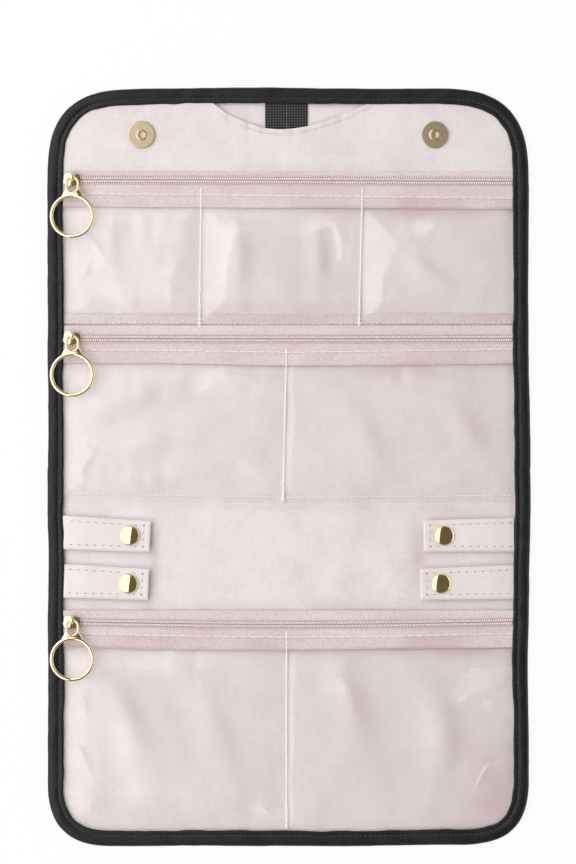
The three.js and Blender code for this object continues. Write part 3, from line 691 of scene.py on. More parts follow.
# Painted shade, a deeper pink, where the folds lie in shade: centre, reach each way, share
SHADES = [
    (72.6, 134.3, 28, 4.5, 0.75), (22, 134.8, 10, 4, 0.5), (59.4, 49, 30, 3.5, 0.6), (-20, 50, 20, 3, 0.3),
    (87, -97, 26, 6, 0.8), (22, -98.4, 30, 5, 0.35), (108, -171.5, 20, 30, 0.7), (68.9, -45.4, 5, 20, 0.6),
    (92, -24.2, 26, 4, 0.4), (-94, -47.5, 24, 4, 0.12), (-97, -110.6, 12, 20, 0.22), (-70.5, -45.4, 2.4, 18, 0.6),
    (0, -21.4, 115, 2, 0.25), (0, -73.5, 118, 3, 0.3), (-10, 84, 110, 3, 0.25), (10, 110, 12, 22, 0.2),
    (96, 22, 12, 22, 0.2), (40, -140, 9, 34, 0.22), (-60, -130, 10, 30, 0.2), (0, 157.5, 118, 3, 0.2),
]
# Seams that gather the lining: height of the seam and how much
GATHERS = ((-19.4, 0.22), (-76.3, 0.22), (133.0, 0.14), (50.0, 0.14), (-98, 0.14), (-190, 0.2), (80, 0.16))
# The pockets that leave room for folds: from where to where
POCKET_SPANS = ((76, 137), (-15, 54), (-192, -96))
DEEPEST = 0.65  # the largest share of painted shade on satin
PAD_INSET = 2.2
PAD_MIDDLE = 1.55  # the height about which a pad is plump
SHELL_LOW = 0.78  # the shell's outer face

# Where cloth bends: the two bodies, and a point on each side of the fold
UPPER_JOINT = ("middle_panel", "top_panel", (0, 0.066, 0), (0, 0.082, 0))
# From the bottom panel up
LOWER_JOINT = ("bottom_panel", "middle_panel", (0, -0.082, 0), (0, -0.066, 0))


def pucker(x, y, seam_y, reach, pitch, seed):
    """Small gathers that run off a seam across the case and die away from it."""
    far = np.abs(y - seam_y)
    return value_noise(x / pitch, far / (reach * 2.5) + 3, seed) * np.exp(-far / reach)


def painted_shade(x, y):
    """Share of painted shade, a deeper pink, at each point: along the binding's inner edge and at the places in SHADES.
    """
    depth = 0.2 * np.exp(-np.clip(inner_distance(x, y), 0, None) / 2.0)
    drift = 1 + 0.5 * fbm(x, y, 12, 2, 17)
    for cx, cy, rx, ry, share in SHADES:
        depth = depth + share * drift * np.exp(-((x - cx) / rx) ** 2 - ((y - cy) / ry) ** 2)
    return np.clip(0.7 * depth, 0, DEEPEST)


def lining_height(x, y):
    """How far the lining stands off its plain face."""
    height = 0.5 * fbm(x + 0.3 * y, y - 0.25 * x, 27, 2, 11) + 0.16 * fbm(x, y * 1.6, 10, 2, 14)
    for k, (seam, amount) in enumerate(GATHERS):
        height = height + amount * pucker(x, y, seam, 8, 5.0 + k % 3, 21 + k)
    height = height + 0.2 * value_noise(y / 6.0, 3, 41) * np.exp(-(INNER_X - np.abs(x)) / 7)
    height = np.clip(np.where(height < 0, height * 0.45, height), -0.2, 0.55)

    room = smoothstep(-20, -28, y) * smoothstep(-74, -66, y)  # the open cloth between two rows of pockets
    off_edge = smoothstep(0, 9, inner_distance(x, y))
    for low, high in POCKET_SPANS:
        room = np.maximum(room, smoothstep(1, 10, np.minimum(y - low, high - y)) * off_edge)
    for points, rise, width in FOLDS:
        gap, share = polyline_distance(x, y, soft_line(points))
        height = height + 2.0 * rise * bell(gap, width) * np.sin(PI * np.clip(share, 0.1, 0.9)) * room

    for side, root, length, _ in TABS.values():  # pressed flat under the snaps
        cx = side * (TAB_ROOT - length + CAP_INSET)
        height = height * (1 - 0.95 * np.exp(-((x - cx) ** 2 + (y - root) ** 2) / 110))
    under_loop = smoothstep(24, 14, np.abs(x)) * smoothstep(152, 160, y)
    height = height * (1 - under_loop) - 0.05 * under_loop
    for table in TAPE_EDGE.values():
        near = bell(y - line_at(table, x), 4) * smoothstep(122, 116, np.abs(x))
        height = height * (1 - near) + near * np.minimum(height + 0.35, 0.6)
    return height


def cloth_span(end):
    """From where to where the cloth of one half of the case reaches."""
    return (0, TOP_Y - CLOTH_INSET) if end > 0 else (BOTTOM_Y + CLOTH_INSET, 0)


def build_lining(end, name, joint, nodes):
    """The satin of one half of the case, with its folds and shades."""
    x, y = scanlines(*cloth_span(end), CLOTH_INSET, 2.0, 1.8)
    z = LINING_TOP - 0.12 + lining_height(x, y)
    made = piece(name, Shape().slab(x, y, z, z - 0.28), SATIN, "satin_lining", blend=joint, replaces=nodes)
    # Painted shade: on slopes that face right, away from the brighter lamp, and a painted shadow just below each tape's
    # edge
    slope = np.gradient(z, axis=1) / np.gradient(x, axis=1)
    shadow_below_tapes = sum(0.3 * bell(y - line_at(table, x) + 0.8, 1.6) for table in TAPE_EDGE.values())
    paint(made, "deep", np.clip(painted_shade(x, y) + 1.2 * np.clip(-slope, 0, 0.4) + shadow_below_tapes, 0, DEEPEST))


def build_shell(end, name, joint, nodes):
    """The cloth on the back of one half of the case, a little rippled."""
    x, y = scanlines(*cloth_span(end), CLOTH_INSET, 3.0, 3.0)
    ripple = 0.12 * fbm(x, y, 30, 3, 61) + 0.06 * fbm(x, y, 9, 2, 66)
    z = SHELL_LOW + np.clip(ripple, -0.13, 0.15)
    made = piece(name, Shape().slab(x, y, z + 0.36, z), SHELL, "shell_cloth", blend=joint, replaces=nodes)


def build_pad(name, low, high, body, node):
    """A thin foam slab with rounded edges, a little crowned."""
    x, y = scanlines(low, high, PAD_INSET, 4.0, 4.0)
    edge = np.minimum(np.minimum(y - low, high - y), half_width(y, PAD_INSET) - np.abs(x))
    plump = 0.42 * np.sqrt(np.clip(edge / 3.0, 0.02, 1))
    crown = 0.03 * fbm(x, y, 25, 2, 71)
    shape = Shape().slab(x, y, PAD_MIDDLE + plump + crown, PAD_MIDDLE - 0.8 * plump)
    made = piece(name, shape, FOAM, "foam_padding", body=body, replaces=[node])


build_pad("top_pad", 78.6, TOP_Y - 2.4, "top_panel", "top_padding")
build_pad("middle_pad", -69.4, 69.4, "middle_panel", "middle_padding")
build_pad("bottom_pad", BOTTOM_Y + 2.4, -78.6, "bottom_panel", "bottom_padding")
build_lining(1, "upper_lining", UPPER_JOINT, ["top_lining", "middle_lining", "upper_fold_strip"])
build_lining(-1, "lower_lining", LOWER_JOINT, ["bottom_lining", "middle_lining", "lower_fold_strip"])
build_shell(1, "upper_shell_cloth", UPPER_JOINT, ["top_shell", "middle_shell"])
build_shell(-1, "lower_shell_cloth", LOWER_JOINT, ["bottom_shell", "middle_shell"])


# ---------------------------------------------------------------- binding

STITCH_PITCH = 2.65
BINDING_SEAM = 5.7  # how far in from the edge the binding is sewn


def binding_section():
    """The folded strip as two rows of (distance in from the edge, height): its outside, then its inside."""
    outer = [(8.3, 0.12), (7.4, 0.05), (6.2, 0.1), (5.7, 0.3), (5.2, 0.1), (4.0, 0.0), (2.4, 0.05)]
    outer += [(2.2 - 2.2 * math.sin(t), 2.25 - 2.15 * math.cos(t)) for t in np.linspace(0.2, PI / 2, 5)]
    outer += [(2.2 - 2.2 * math.cos(t), 2.65 + 2.2 * math.sin(t)) for t in np.linspace(0.15, PI / 2 - 0.15, 5)]
    outer += [(3.4, 4.9), (4.6, 4.86), (5.2, 4.72), (5.7, 4.52), (6.2, 4.74), (7.3, 4.82), (8.1, 4.72), (8.3, 4.5)]
    inner = [(8.3, 4.25), (5.7, 4.0), (3.0, 4.2), (1.2, 3.5), (0.75, 2.5), (1.2, 1.2), (3.0, 0.65), (5.7, 0.8),
             (8.3, 0.62)]
    return np.array(outer), np.array(inner)


def build_binding(end, name, joint, nodes):
    """The strip round one end of the case, creased and pinched by its seam, and the seam's threads."""
    path, inward = case_edge(end, 1.3)
    near_fold = np.abs(np.abs(path[:, 1]) - FOLD_Y) < 9
    knots = np.arange(len(path))
    at = np.concatenate([k + np.arange(3) / 3 if near_fold[k] else [k] for k in knots])
    path, inward = (np.stack([np.interp(at, knots, v[:, k]) for k in (0, 1)], 1) for v in (path, inward))
    run = np.concatenate([[0], np.cumsum(np.linalg.norm(np.diff(path, axis=0), axis=1))])
    outer, inner = binding_section()
    section = np.concatenate([outer, inner])
    into, level = section.T[:, None, :]
    outside = (np.arange(len(section)) < len(outer))[None, :]
    x, y = path[:, :1], path[:, 1:]
    distance = into * (1 + 0.05 * fbm(x + 90, y, 22, 2, 81) + 0.03 * fbm(x, y, 6, 1, 84))
    along = np.repeat(run[:, None], len(section), axis=1)
    creases = fbm(along + 0.9 * distance, distance * 1.6 - 0.3 * along, 7, 2, 91)
    ridge = np.clip(1 - 3.0 * np.abs(fbm(along * 0.8 + 1.4 * distance, 0.5 * distance, 17, 2, 95)), 0, 1)
    amount = np.where(outside, 0.15 * creases + 0.2 * ridge, 0.1 * creases)
    soft = np.where((into > 1.0) & (into < 8.2), 1.0, 0.5)
    pinch = 0.16 * bell(into - BINDING_SEAM, 0.45) * (0.5 + 0.5 * np.cos(2 * PI * along / STITCH_PITCH))
    above = level + amount * soft - pinch - 0.06
    below = np.clip(level + 0.3 * amount * soft, 0, 5)
    distance = np.where(outside & (into < 1.6), distance - 0.55 * amount, distance)
    rings = np.stack([x + inward[:, :1] * distance, y + inward[:, 1:] * distance,
                      np.where(level > 2.45, above, below)], -1)
    piece(name, Shape().loft(rings), BINDING, "binding_cloth", blend=joint, replaces=nodes, crease=60)

    line = resample(path + inward * BINDING_SEAM, STITCH_PITCH)
    step = np.gradient(line, axis=0)[1:-1]
    step /= np.linalg.norm(step, axis=1)[:, None]
    stitches = Shape()
    for height, radius in ((4.6, 0.24), (0.22, 0.2)):
        stitches.threads(points_of(*line[1:-1].T, height), points_of(*(step * 0.8).T, 0), radius, dip=0.1)
    piece(f"{name}_stitches", stitches, GREY_THREAD, "binding_cloth", blend=joint)


build_binding(1, "upper_binding", UPPER_JOINT, ["top_binding", "left_binding", "right_binding"])
build_binding(-1, "lower_binding", LOWER_JOINT, ["bottom_binding", "left_binding", "right_binding"])


# ---------------------------------------------------------------- zips

TOOTH_PITCH = 1.213
ZIP_STITCH = 4.62
CHAIN_END = 118.7
WHICH = {1: "upper", -1: "lower"}


def bow(row, x):
    """How far the chain of a row strays from its straight line."""
    t = (np.asarray(x, float) + INNER_X) / (2 * INNER_X)
    if row == "top":
        return -0.8 * smoothstep(0.1, 1, t)
    if row == "middle":
        return -0.35 * np.sin(PI * t)
    return 0.3 - 1.5 * np.sin(PI * np.clip(t, 0, 1))


def build_tape(row, side):
    """One tape: woven cloth from beside the teeth to its outer edge, with a wavy free edge."""
    xs = np.linspace(-FLANGE_X, FLANGE_X, 208)
    if side > 0:
        far, rows = ZIP_Y[row] + TAPE_RISE[row], 9
    else:
        far, rows = line_at(TAPE_EDGE[row], xs) + 0.2 * fbm(xs, 0, 8, 2, 101), 26
    x, y = grid_between(xs, ZIP_Y[row] + bow(row, xs) + side * 0.22, far, rows)
    away = np.abs(y - (ZIP_Y[row] + bow(row, x)))
    seam = line_at(STITCH_LINE[row], x) if side < 0 else np.full(x.shape, 1e3)
    sunk = 0.2 * bell(y - seam, 0.8) * (0.8 + 0.4 * np.cos(x / ZIP_STITCH * 2 * PI))
    wave = 0.16 * fbm(x, y * 2, 17, 2, 105) + 0.12 * pucker(x, y, seam, 5, 3.4, 107)
    wave = wave + 0.1 * fbm(x * 0.4, y * 2.4, 6, 1, 109)
    groove = (0.1 if side < 0 else 0.02) * bell(away - 2.75, 0.35)
    z = TAPE_TOP - 0.04 + np.where(away > 3.4, np.clip(wave, -0.22, 0.26), 0) * smoothstep(2.8, 4.5, away)
    z = z - sunk - groove
    made = piece(f"{row}_zip_{WHICH[side]}_cloth", Shape().slab(x, y, z, z - 0.4), TAPE, "zip_tape",
                 body=f"{row}_panel", replaces=[f"{row}_zip_{WHICH[side]}_tape"])

    # Painted on the tape: shade along the coil's edge, and random patches of deeper tone
    deep = 0.1 * bell(away - 2.6, 0.35) + 0.12 * smoothstep(0.6, 1.8, 0.8 + 2 * fbm(x, y * 1.5, 16, 2, 115))
    if side > 0:
        deep = 0.3 * deep
    else:
        # Below the stitches, darker in some stretches of each row; a painted shade along the free edge; a thin darker
        # line just below the stitches
        below = smoothstep(0.3, -0.4, y - seam)
        patches = {"top": smoothstep(0, 12, x), "middle": 0.6 * smoothstep(-30, 20, x),
                   "bottom": smoothstep(108, 105, x)}[row]
        deep = deep + 0.2 * below * patches * (0.6 + 0.9 * value_noise(x / 17, 1, 117))
        deep = deep + 0.3 * smoothstep(1.3, 0.5, y - far) * patches + 0.15 * bell(y - seam + 0.6, 0.35)
    paint(made, "deep", np.clip(deep, 0, 0.8))
    if side < 0:
        edge_x = np.arange(-FLANGE_X + 0.8, FLANGE_X - 0.8, 1.25)
        places = points_of(edge_x, np.interp(edge_x, xs, far), np.interp(edge_x, xs, z[-1]) - 0.16)
        selvedge = Shape().threads(places, (0.34, 0.1, 0), 0.3)
        piece(f"{row}_zip_selvedge", selvedge, TAPE, "zip_tape", body=f"{row}_panel")


def build_coil(row, side):
    """A row of coil teeth on their core, and the sewing that holds their tails."""
    x = np.arange(-CHAIN_END, CHAIN_END, TOOTH_PITCH) + (TOOTH_PITCH / 2 if side > 0 else 0)
    x = x[x < CHAIN_END]
    y = ZIP_Y[row] + bow(row, x)
    t = np.linspace(0, 1, 7)[:, None]
    bulge = np.sin(PI * np.clip(t * 0.96 + 0.02, 0, 1)) ** 0.5
    turn = np.linspace(0, 2 * PI, 8, endpoint=False)
    tooth = np.stack(np.broadcast_arrays(
        0.24 * (t - 0.5) + 0.35 * bulge * np.cos(turn),
        side * (0.03 + 1.62 * t),
        0.5 + 0.36 * bulge + 0.44 * bulge * np.sin(turn),
    ), -1).reshape(-1, 3)
    shape = Shape().copies(tooth + points_of(x, y, TAPE_TOP)[:, None, :], ring_faces(7, 8))
    xs = np.linspace(-CHAIN_END, CHAIN_END, 160)[:, None]
    core = [xs, ZIP_Y[row] + bow(row, xs) + side * np.array([0.06, 0.3, 0.85, 1.4, 1.62]),
            TAPE_TOP + np.array([[0.15, 0.55, 0.66, 0.55, 0.1]])]
    shape.slab(*(v[:, ::side] for v in core), TAPE_TOP - 0.05)
    sewing = Shape().threads(points_of(x, y + side * 1.98, TAPE_TOP + 0.34), (0.5, 0.12, 0), 0.34, flat=0.9)
    name = f"{row}_zip_{WHICH[side]}"
    piece(f"{name}_sewing", sewing, PINK_THREAD, "zip_tape", body=f"{row}_panel")
    piece(f"{name}_teeth", shape, COIL, "zip_tape", body=f"{row}_panel", crease=60)


def build_stitches(name, points, pitch, length, radius, body, finish=WHITE_THREAD, slot="zip_tape",
                   sway=0.1, seed=7, dip=0.12, twist=0):
    """A run of stitches along a line of (x, y, z); the last few may be a twisted pair of threads."""
    line = resample(points, pitch)
    rng = np.random.default_rng(seed)
    step = np.diff(line, axis=0)
    count = len(step)
    middle = (line[:-1] + line[1:]) / 2
    along = step / np.linalg.norm(step, axis=1)[:, None]
    side = points_of(-along[:, 1], along[:, 0], 0)
    lean = rng.uniform(-sway, sway, (count, 1))
    reach = length / 2 * rng.uniform(0.94, 1.05, (count, 1))
    shape = Shape().threads(middle, along * reach + side * lean, radius, dip=dip)
    for hand in (-1, 1) if twist else ():
        t = np.linspace(0, 1, 5 * twist)[:, None]
        strand = line[-1 - twist] * (1 - t) + line[-1] * t
        strand = strand + side[-1] * (hand * np.sin(t * twist * 2.6) * 0.42) + [0, 0, 0.12]
        shape.stitches(strand[:-1], strand[1:], radius * 0.9, dip=0.02)
    piece(name, shape, finish, slot, body=body)


for row in ZIP_Y:
    for side in (1, -1):
        build_tape(row, side)
        build_coil(row, side)
    line = points_of(SEAM_X, line_at(STITCH_LINE[row], SEAM_X), TAPE_TOP + 0.22)
    build_stitches(f"{row}_zip_stitches", line, ZIP_STITCH, 4.5, 0.36, f"{row}_panel", sway=0.16, dip=0.24)


# ---------------------------------------------------------------- sliders and pulls

EYE_HALF = 3.05
EYE_LENGTH = 5.25
RING_REACH = 20.5
RING_RADIUS = 10.85
WEB_HALF = 8.8
HOLDER_RADIUS = 1.72
PLATE_TOP = 6.4
# Half the outline of a slider's plate, from its back end to its front end
PLATE_HALF = [
    (-4.5, 0), (-4.45, -1.6), (-4.2, -2.5), (-3.2, -3.3), (-1.6, -3.65), (0.4, -3.5), (2.6, -3.0), (3.8, -2.6),
    (4.3, -1.9), (4.48, -1.0), (4.5, 0),
]
# The turned down rim between a slider's plates, as (outward, height)
RIM = ((-0.3, 6.15), (0.2, 6.1), (0.3, 5.5), (0.12, 5.12), (-0.22, 5.3))


def oval_section(wide, tall, power, sides=16):
    """Points round a section between an ellipse and a box."""
    turn = np.linspace(0, 2 * PI, sides, endpoint=False)
    c, d = np.cos(turn), np.sin(turn)
    return wide * np.sign(c) * np.abs(c) ** (2 / power), tall * np.sign(d) * np.abs(d) ** (2 / power)


def wire(path, outward, wide, tall, power):
    """Rings of a closed wire that lies flat: path and outward are arrays of (x, y)."""
    w, h = oval_section(wide, tall, power)
    x = path[:, :1] + outward[:, :1] * w
    y = path[:, 1:] + outward[:, 1:] * w
    return np.stack([x, y, np.repeat(h[None, :], len(path), axis=0)], -1)


def round_points(start, stop, count, endpoint=True):
    """Points on the unit circle."""
    t = np.linspace(start, stop, count, endpoint=endpoint)
    return np.stack([np.cos(t), np.sin(t)], 1)


def build_pull(row):
    """Eye, web and finger ring, first flat with the eye's wire at the origin."""
    shape = Shape()
    around = round_points(0, 2 * PI, 120, False)
    shape.loft(wire(around * RING_RADIUS - [0, RING_REACH], around, 0.97, 0.7, 2.3), closed=True)
    over = round_points(0, PI, 20)
    eye = np.concatenate([over * EYE_HALF - [0, EYE_HALF], -over * EYE_HALF - [0, EYE_LENGTH]])
    shape.loft(wire(eye, np.concatenate([over, -over]), 0.66, 0.7, 2.2), closed=True)
    u = np.linspace(-1, 1, 41)
    v = np.linspace(0, 1, 14)[:, None]
    top_y = -EYE_LENGTH - EYE_HALF * np.sqrt(1 - u ** 2)
    low_x = WEB_HALF * u
    low_y = -RING_REACH + np.sqrt(RING_RADIUS ** 2 - low_x ** 2)
    x = ((EYE_HALF + 0.3) * u * (1 - v) + low_x * v) * (1 - 0.07 * np.sin(PI * v) * np.abs(u))
    y = top_y * (1 - v) + low_y * v
    half = 0.56 * (1 - np.abs(u) ** 7) ** 0.5 + 0.03
    shape.slab(x, y, half, -half)
    c, d = math.cos(PULL_TILT), math.sin(PULL_TILT)
    for k, points in enumerate(shape.points):
        x, y, z = points.T
        shape.points[k] = points_of(
            x + SLIDER_X, y * c - z * d + ZIP_Y[row] + PIVOT_OFFSET, y * d + z * c + PIVOT_Z)
    piece(f"{row}_pull_ring", shape, GOLD, "gold_metal", body=f"{row}_ring_pull",
          replaces=[f"{row}_ring_pull"], crease=70)


def plate(outline, low, high, ease):
    """Rings of a flat plate with eased edges, from an outline round the origin."""
    size = np.linalg.norm(outline, axis=1)[:, None]
    angles = (0, 0.5, 1.0, PI / 2)
    rings = []
    for angle, level, way in [(t, low, 1) for t in angles] + [(t, high, -1) for t in reversed(angles)]:
        inset = ease * (1 - math.sin(angle))
        rings.append(points_of(*(outline * (1 - inset / size)).T, level + way * ease * (1 - math.cos(angle))))
    return rings


def build_slider(row):
    """Two shield-shaped plates, the wedge between them and the loop that holds the pull."""
    shape = Shape()
    outline = resample(PLATE_HALF + [(x, -y) for x, y in PLATE_HALF[-2:0:-1]] + PLATE_HALF[:1], 0.55)[:-1]
    shape.loft(plate(outline, 2.92, 3.5, 0.2))
    shape.loft(plate(outline, 5.82, PLATE_TOP, 0.24))
    for side in (-1, 1):
        rings = []
        for x in (-3.3, -2.6, -1.2, 0.8, 2.4, 3.2):
            y = side * (3.32 - 0.09 * (x + 3.3))
            narrow = 0.55 if abs(x) > 3 else 1.0
            rings.append([(x, y + side * dy * narrow, 6.1 + (z - 6.1) * narrow) for dy, z in RIM])
        shape.loft(rings)
    shape.loft([[(x, y * w, z) for y, z in ((-1, 3.2), (1, 3.2), (1, 6.1), (-1, 6.1))]
                for x, w in ((-4.3, 0.1), (-3.0, 0.18), (-1.9, 0.08))])

    feet = -(PIVOT_Z - PLATE_TOP) - 0.25
    over = round_points(0, PI, 17)
    path = np.concatenate([[(HOLDER_RADIUS, feet)], over * HOLDER_RADIUS, [(-HOLDER_RADIUS, feet)]])
    out = np.concatenate([[(1.0, 0.0)], over, [(-1.0, 0.0)]])
    w, h = oval_section(0.9, 0.44, 2.6, 14)
    shape.loft([[(a, PIVOT_OFFSET + p[0] + o[0] * b, PIVOT_Z + p[1] + o[1] * b) for a, b in zip(w, h)]
                for p, o in zip(path, out)])
    for points in shape.points:
        points += (SLIDER_X, ZIP_Y[row], 0)
    piece(f"{row}_slider_body", shape, GOLD, "gold_metal", body=f"{row}_slider",
          replaces=[f"{row}_slider"], crease=45)


for row in ZIP_Y:
    build_pull(row)
    build_slider(row)


# ---------------------------------------------------------------- clear windows

# The stitched line between two pockets, from its upper end to its lower end
DIVIDERS = {
    "top": [((-45.9, 147.4), (-46.8, 73.4)), ((39.5, 147.4), (37.6, 73.4))],
    "middle": [((-0.7, 62.4), (-2.6, -19.0))],
    "bottom": [((-0.7, -87.0), (-0.7, -191.8))],
}
# Each window: its lower and upper seam, its lower end, its noise, and how much it flattens to the left
WINDOWS = {
    "top": dict(low=75.7, high=137.8, hem=75.4, seed=200, calm=0.8),
    "middle": dict(low=-15.9, high=54.0, hem=-19.4, seed=300, calm=0.6),
    "bottom": dict(low=-192.2, high=-96.2, hem=-199.0, seed=400, calm=0.5),
}
FILM_BELOW_ZIP = 7.2
# Long soft creases of each film: points of a line, then height and width
CREASES = {
    "top": [
        ([(-118, 128), (-104, 121), (-96, 108)], 0.35, 1.2), ([(-117, 92), (-108, 100), (-104, 112)], 0.3, 1.0),
        ([(22, 133), (28, 122), (30, 106), (35, 98)], 0.3, 1.2), ([(-43, 128), (-36, 119), (-33, 108)], 0.35, 1.1),
        ([(96, 116), (104, 104), (117, 98)], 0.35, 1.1), ([(88, 101), (101, 92), (112, 88)], 0.3, 0.9),
    ],
    "middle": [
        ([(-118, 20), (-108, 10), (-96, 6)], 0.4, 1.2), ([(-117, -6), (-106, 1), (-101, 12)], 0.35, 1.1),
        ([(-7, 50), (-14, 38), (-16, 24)], 0.3, 1.2), ([(4, 46), (14, 40), (26, 38)], 0.3, 1.1),
        ([(117, 41), (104, 36), (95, 24)], 0.35, 1.0), ([(116, -9), (102, -3), (92, 6)], 0.3, 1.0),
    ],
    "bottom": [
        ([(102.4, -101.0), (109, -99.6), (118.3, -99.0)], 0.5, 0.75),
        ([(103, -104), (108.3, -105.4), (118, -105.4)], 0.45, 0.75),
        ([(98.5, -109.3), (101, -107), (108, -107.8)], 0.35, 0.8),
        ([(106.5, -118), (112, -114), (118, -110.6)], 0.45, 0.8),
        ([(-118, -112), (-111, -118), (-107, -130)], 0.45, 1.3), ([(-117, -143), (-108, -152), (-104, -165)], 0.4, 1.3),
        ([(-6, -104), (-16, -116), (-20, -131)], 0.3, 1.3), ([(6, -108), (12, -124), (13, -140)], 0.3, 1.3),
        ([(115, -150), (104, -160), (98, -174)], 0.35, 1.1),
    ],
}
# Where the bottom film clings to the satin and its tint is paler, a painted glare: closed outlines in the shape of
# leaves
CLING_AND_GLARE = [
    [(84.5, -125.8), (85.5, -119.9), (90.5, -113.3), (93.8, -109.5), (97.8, -106.6), (103, -107.5), (112, -105.4),
     (118.5, -106.2), (118.5, -110.6), (112.4, -113.8), (107, -117.9), (102.4, -118.9), (97.8, -119.5),
     (93.8, -121.8), (90.5, -124.4)],
    [(103, -121.8), (106.4, -123.3), (108.4, -128.5), (107, -130.2), (103, -126.5)],
    [(118.6, -112.5), (114.9, -117.3), (112.8, -122.5), (114.9, -129.2), (118.6, -134.5)],
    [(118.6, -136), (114.6, -141), (116.3, -145.1), (118.6, -148)],
]
HEM_LINE = {
    "top": [(-119, 76.2), (0, 75.8), (119, 76.2)],
    "middle": [(-119, -14.2), (-60, -15.4), (0, -16.4), (60, -16.0), (119, -15.0)],
}


def divider_x(line, y):
    """Where a divider stands at some heights."""
    (x0, y0), (x1, y1) = line
    return x0 + (x1 - x0) * np.clip((y - y0) / (y1 - y0), 0, 1)


def inside(x, y, outline):
    """Signed distance inwards from a closed outline."""
    gap, _ = polyline_distance(x, y, outline + outline[:1])
    odd = np.zeros(x.shape, bool)
    for (x0, y0), (x1, y1) in zip(outline, outline[1:] + outline[:1]):
        if y0 != y1:
            crosses = (y0 > y) != (y1 > y)
            odd ^= crosses & (x < (x1 - x0) * (y - y0) / (y1 - y0) + x0)
    return np.where(odd, gap, -gap)


def window_grid(row):
    """A grid over one window, closer at the creases of the bottom one and narrowed by its corners."""
    fine = row == "bottom"
    parts = ((-FLANGE_X, -INNER_X, 5), (-INNER_X, 78, 152), (78, INNER_X, 70 if fine else 34), (INNER_X, FLANGE_X, 5))
    hem, top = WINDOWS[row]["hem"], ZIP_Y[row] - FILM_BELOW_ZIP
    ys = np.linspace(hem, top, int((top - hem) / (0.8 if fine else 1.3)))
    x, y = np.meshgrid(np.unique(np.concatenate([np.linspace(*part) for part in parts])), ys)
    if fine:
        limit = np.minimum(half_width(y, 2.4), FLANGE_X)
        knee = limit - 30
        squeezed = knee + (np.abs(x) - knee) * (limit - knee) / (FLANGE_X - knee)
        x = np.where(np.abs(x) > knee, np.sign(x) * squeezed, x)
    return x, y


def seam_distance(row, x, y):
    """Distance to the nearest seam of a window, negative outside its pockets."""
    distance = np.minimum(y - WINDOWS[row]["low"], WINDOWS[row]["high"] - y)
    distance = np.minimum(distance, inner_distance(x, y))
    for line in DIVIDERS[row]:
        distance = np.minimum(distance, np.abs(x - divider_x(line, y)))
    return distance


def build_window(row):
    """One clear film over its pockets: swollen, gathered at its seams and creased."""
    seed = WINDOWS[row]["seed"]
    x, y = window_grid(row)
    distance = seam_distance(row, x, y)
    first = divider_x(DIVIDERS[row][0], y)
    swell = smoothstep(0, 1, distance / (15 + 9 * fbm(x, y, 30, 2, seed + 3)))
    if row != "top":  # a slow climb after the divider, so that no band of light lies beside it
        climb = np.minimum(swell, 0.12 + 0.88 * np.clip((x - first) / 100, 0, 1))
        swell = np.where(x - first > 0, climb, swell)
    soft = 0.78 + 0.22 * value_noise(x / 46 + 0.2 * y / 46, y / 40, seed)
    soft = soft * (1 - WINDOWS[row]["calm"] * np.clip((first - x) / (first + INNER_X), 0, 1))
    gathers = value_noise(x / 5.5, y / 18, seed + 9) * 0.5 + value_noise(x / 18, y / 5.5, seed + 11) * 0.5
    near = np.exp(-np.clip(distance, 0, None) / 8)
    z = FILM_FLANGE + (FILM_FLAT - FILM_FLANGE) * swell * soft
    z = z + swell * (gathers * near * 1.3 + 0.03 * value_noise(x / 9, y / 9, seed + 20))
    for points, height, width in CREASES[row]:
        gap, share = polyline_distance(x, y, soft_line(points))
        z = z + 1.7 * height * bell(gap, width) * np.sin(PI * np.clip(share, 0.06, 0.94)) * swell
    z = np.where(distance <= 0, FILM_FLANGE, np.clip(z, FILM_FLANGE, FILM_CEILING))
    cling_and_glare = np.zeros(x.shape)
    for outline in CLING_AND_GLARE if row == "bottom" else ():
        cling_and_glare = np.maximum(cling_and_glare, smoothstep(-0.35, 0.35, inside(x, y, outline)))
    z = z - 0.35 * cling_and_glare * swell
    made = piece(f"{row}_film", Shape().slab(x, y, z, z - FILM_THICK), FILM, "clear_film", body=f"{row}_panel",
                 replaces=[f"{row}_clear_window"], crease=80)
    # Painted glare where the film clings
    paint(made, "cling_glare", cling_and_glare)
    # The light that it lets through would otherwise be too dark
    made.visible_shadow = False
    made.visible_diffuse = False


def build_divider(row, k):
    """The seam between two pockets, over the film and up onto the tape, with a twisted end."""
    (x0, y0), (x1, y1) = DIVIDERS[row][k]
    t = np.linspace(0, 1, 40)
    y = y0 + (y1 - y0) * t
    z = np.where(y > WINDOWS[row]["high"] - 0.6, TAPE_TOP + 0.16, FILM_FLANGE + 0.12)
    build_stitches(f"{row}_divider_{k + 1}_stitches", points_of(x0 + (x1 - x0) * t, y, z), 2.5, 2.75, 0.41,
                   f"{row}_panel", slot="clear_film", sway=0.3, seed=30 + k, twist=5)


def build_ribbon():
    """The ribbon that finishes the closed end of the top pockets, under the film."""
    xs = np.linspace(-FLANGE_X, FLANGE_X, 166)
    x, y = grid_between(xs, 75.5, 81.0 + 0.15 * fbm(xs, 3, 12, 2, 121), 6)
    z = 3.08 + 0.06 * fbm(x, y, 9, 2, 123)
    piece("top_pocket_ribbon", Shape().slab(x, y, z, z - 0.3), TAPE, "zip_tape", body="top_panel")


for row in WINDOWS:
    build_window(row)
    for k in range(len(DIVIDERS[row])):
        build_divider(row, k)
for row, table in HEM_LINE.items():
    line = points_of(SEAM_X, line_at(table, SEAM_X), FILM_FLANGE + 0.1)
    build_stitches(f"{row}_hem_stitches", line, 2.8, 2.2, 0.27, f"{row}_panel", slot="clear_film", seed=50)
build_ribbon()


# ---------------------------------------------------------------- hanger pocket and loop

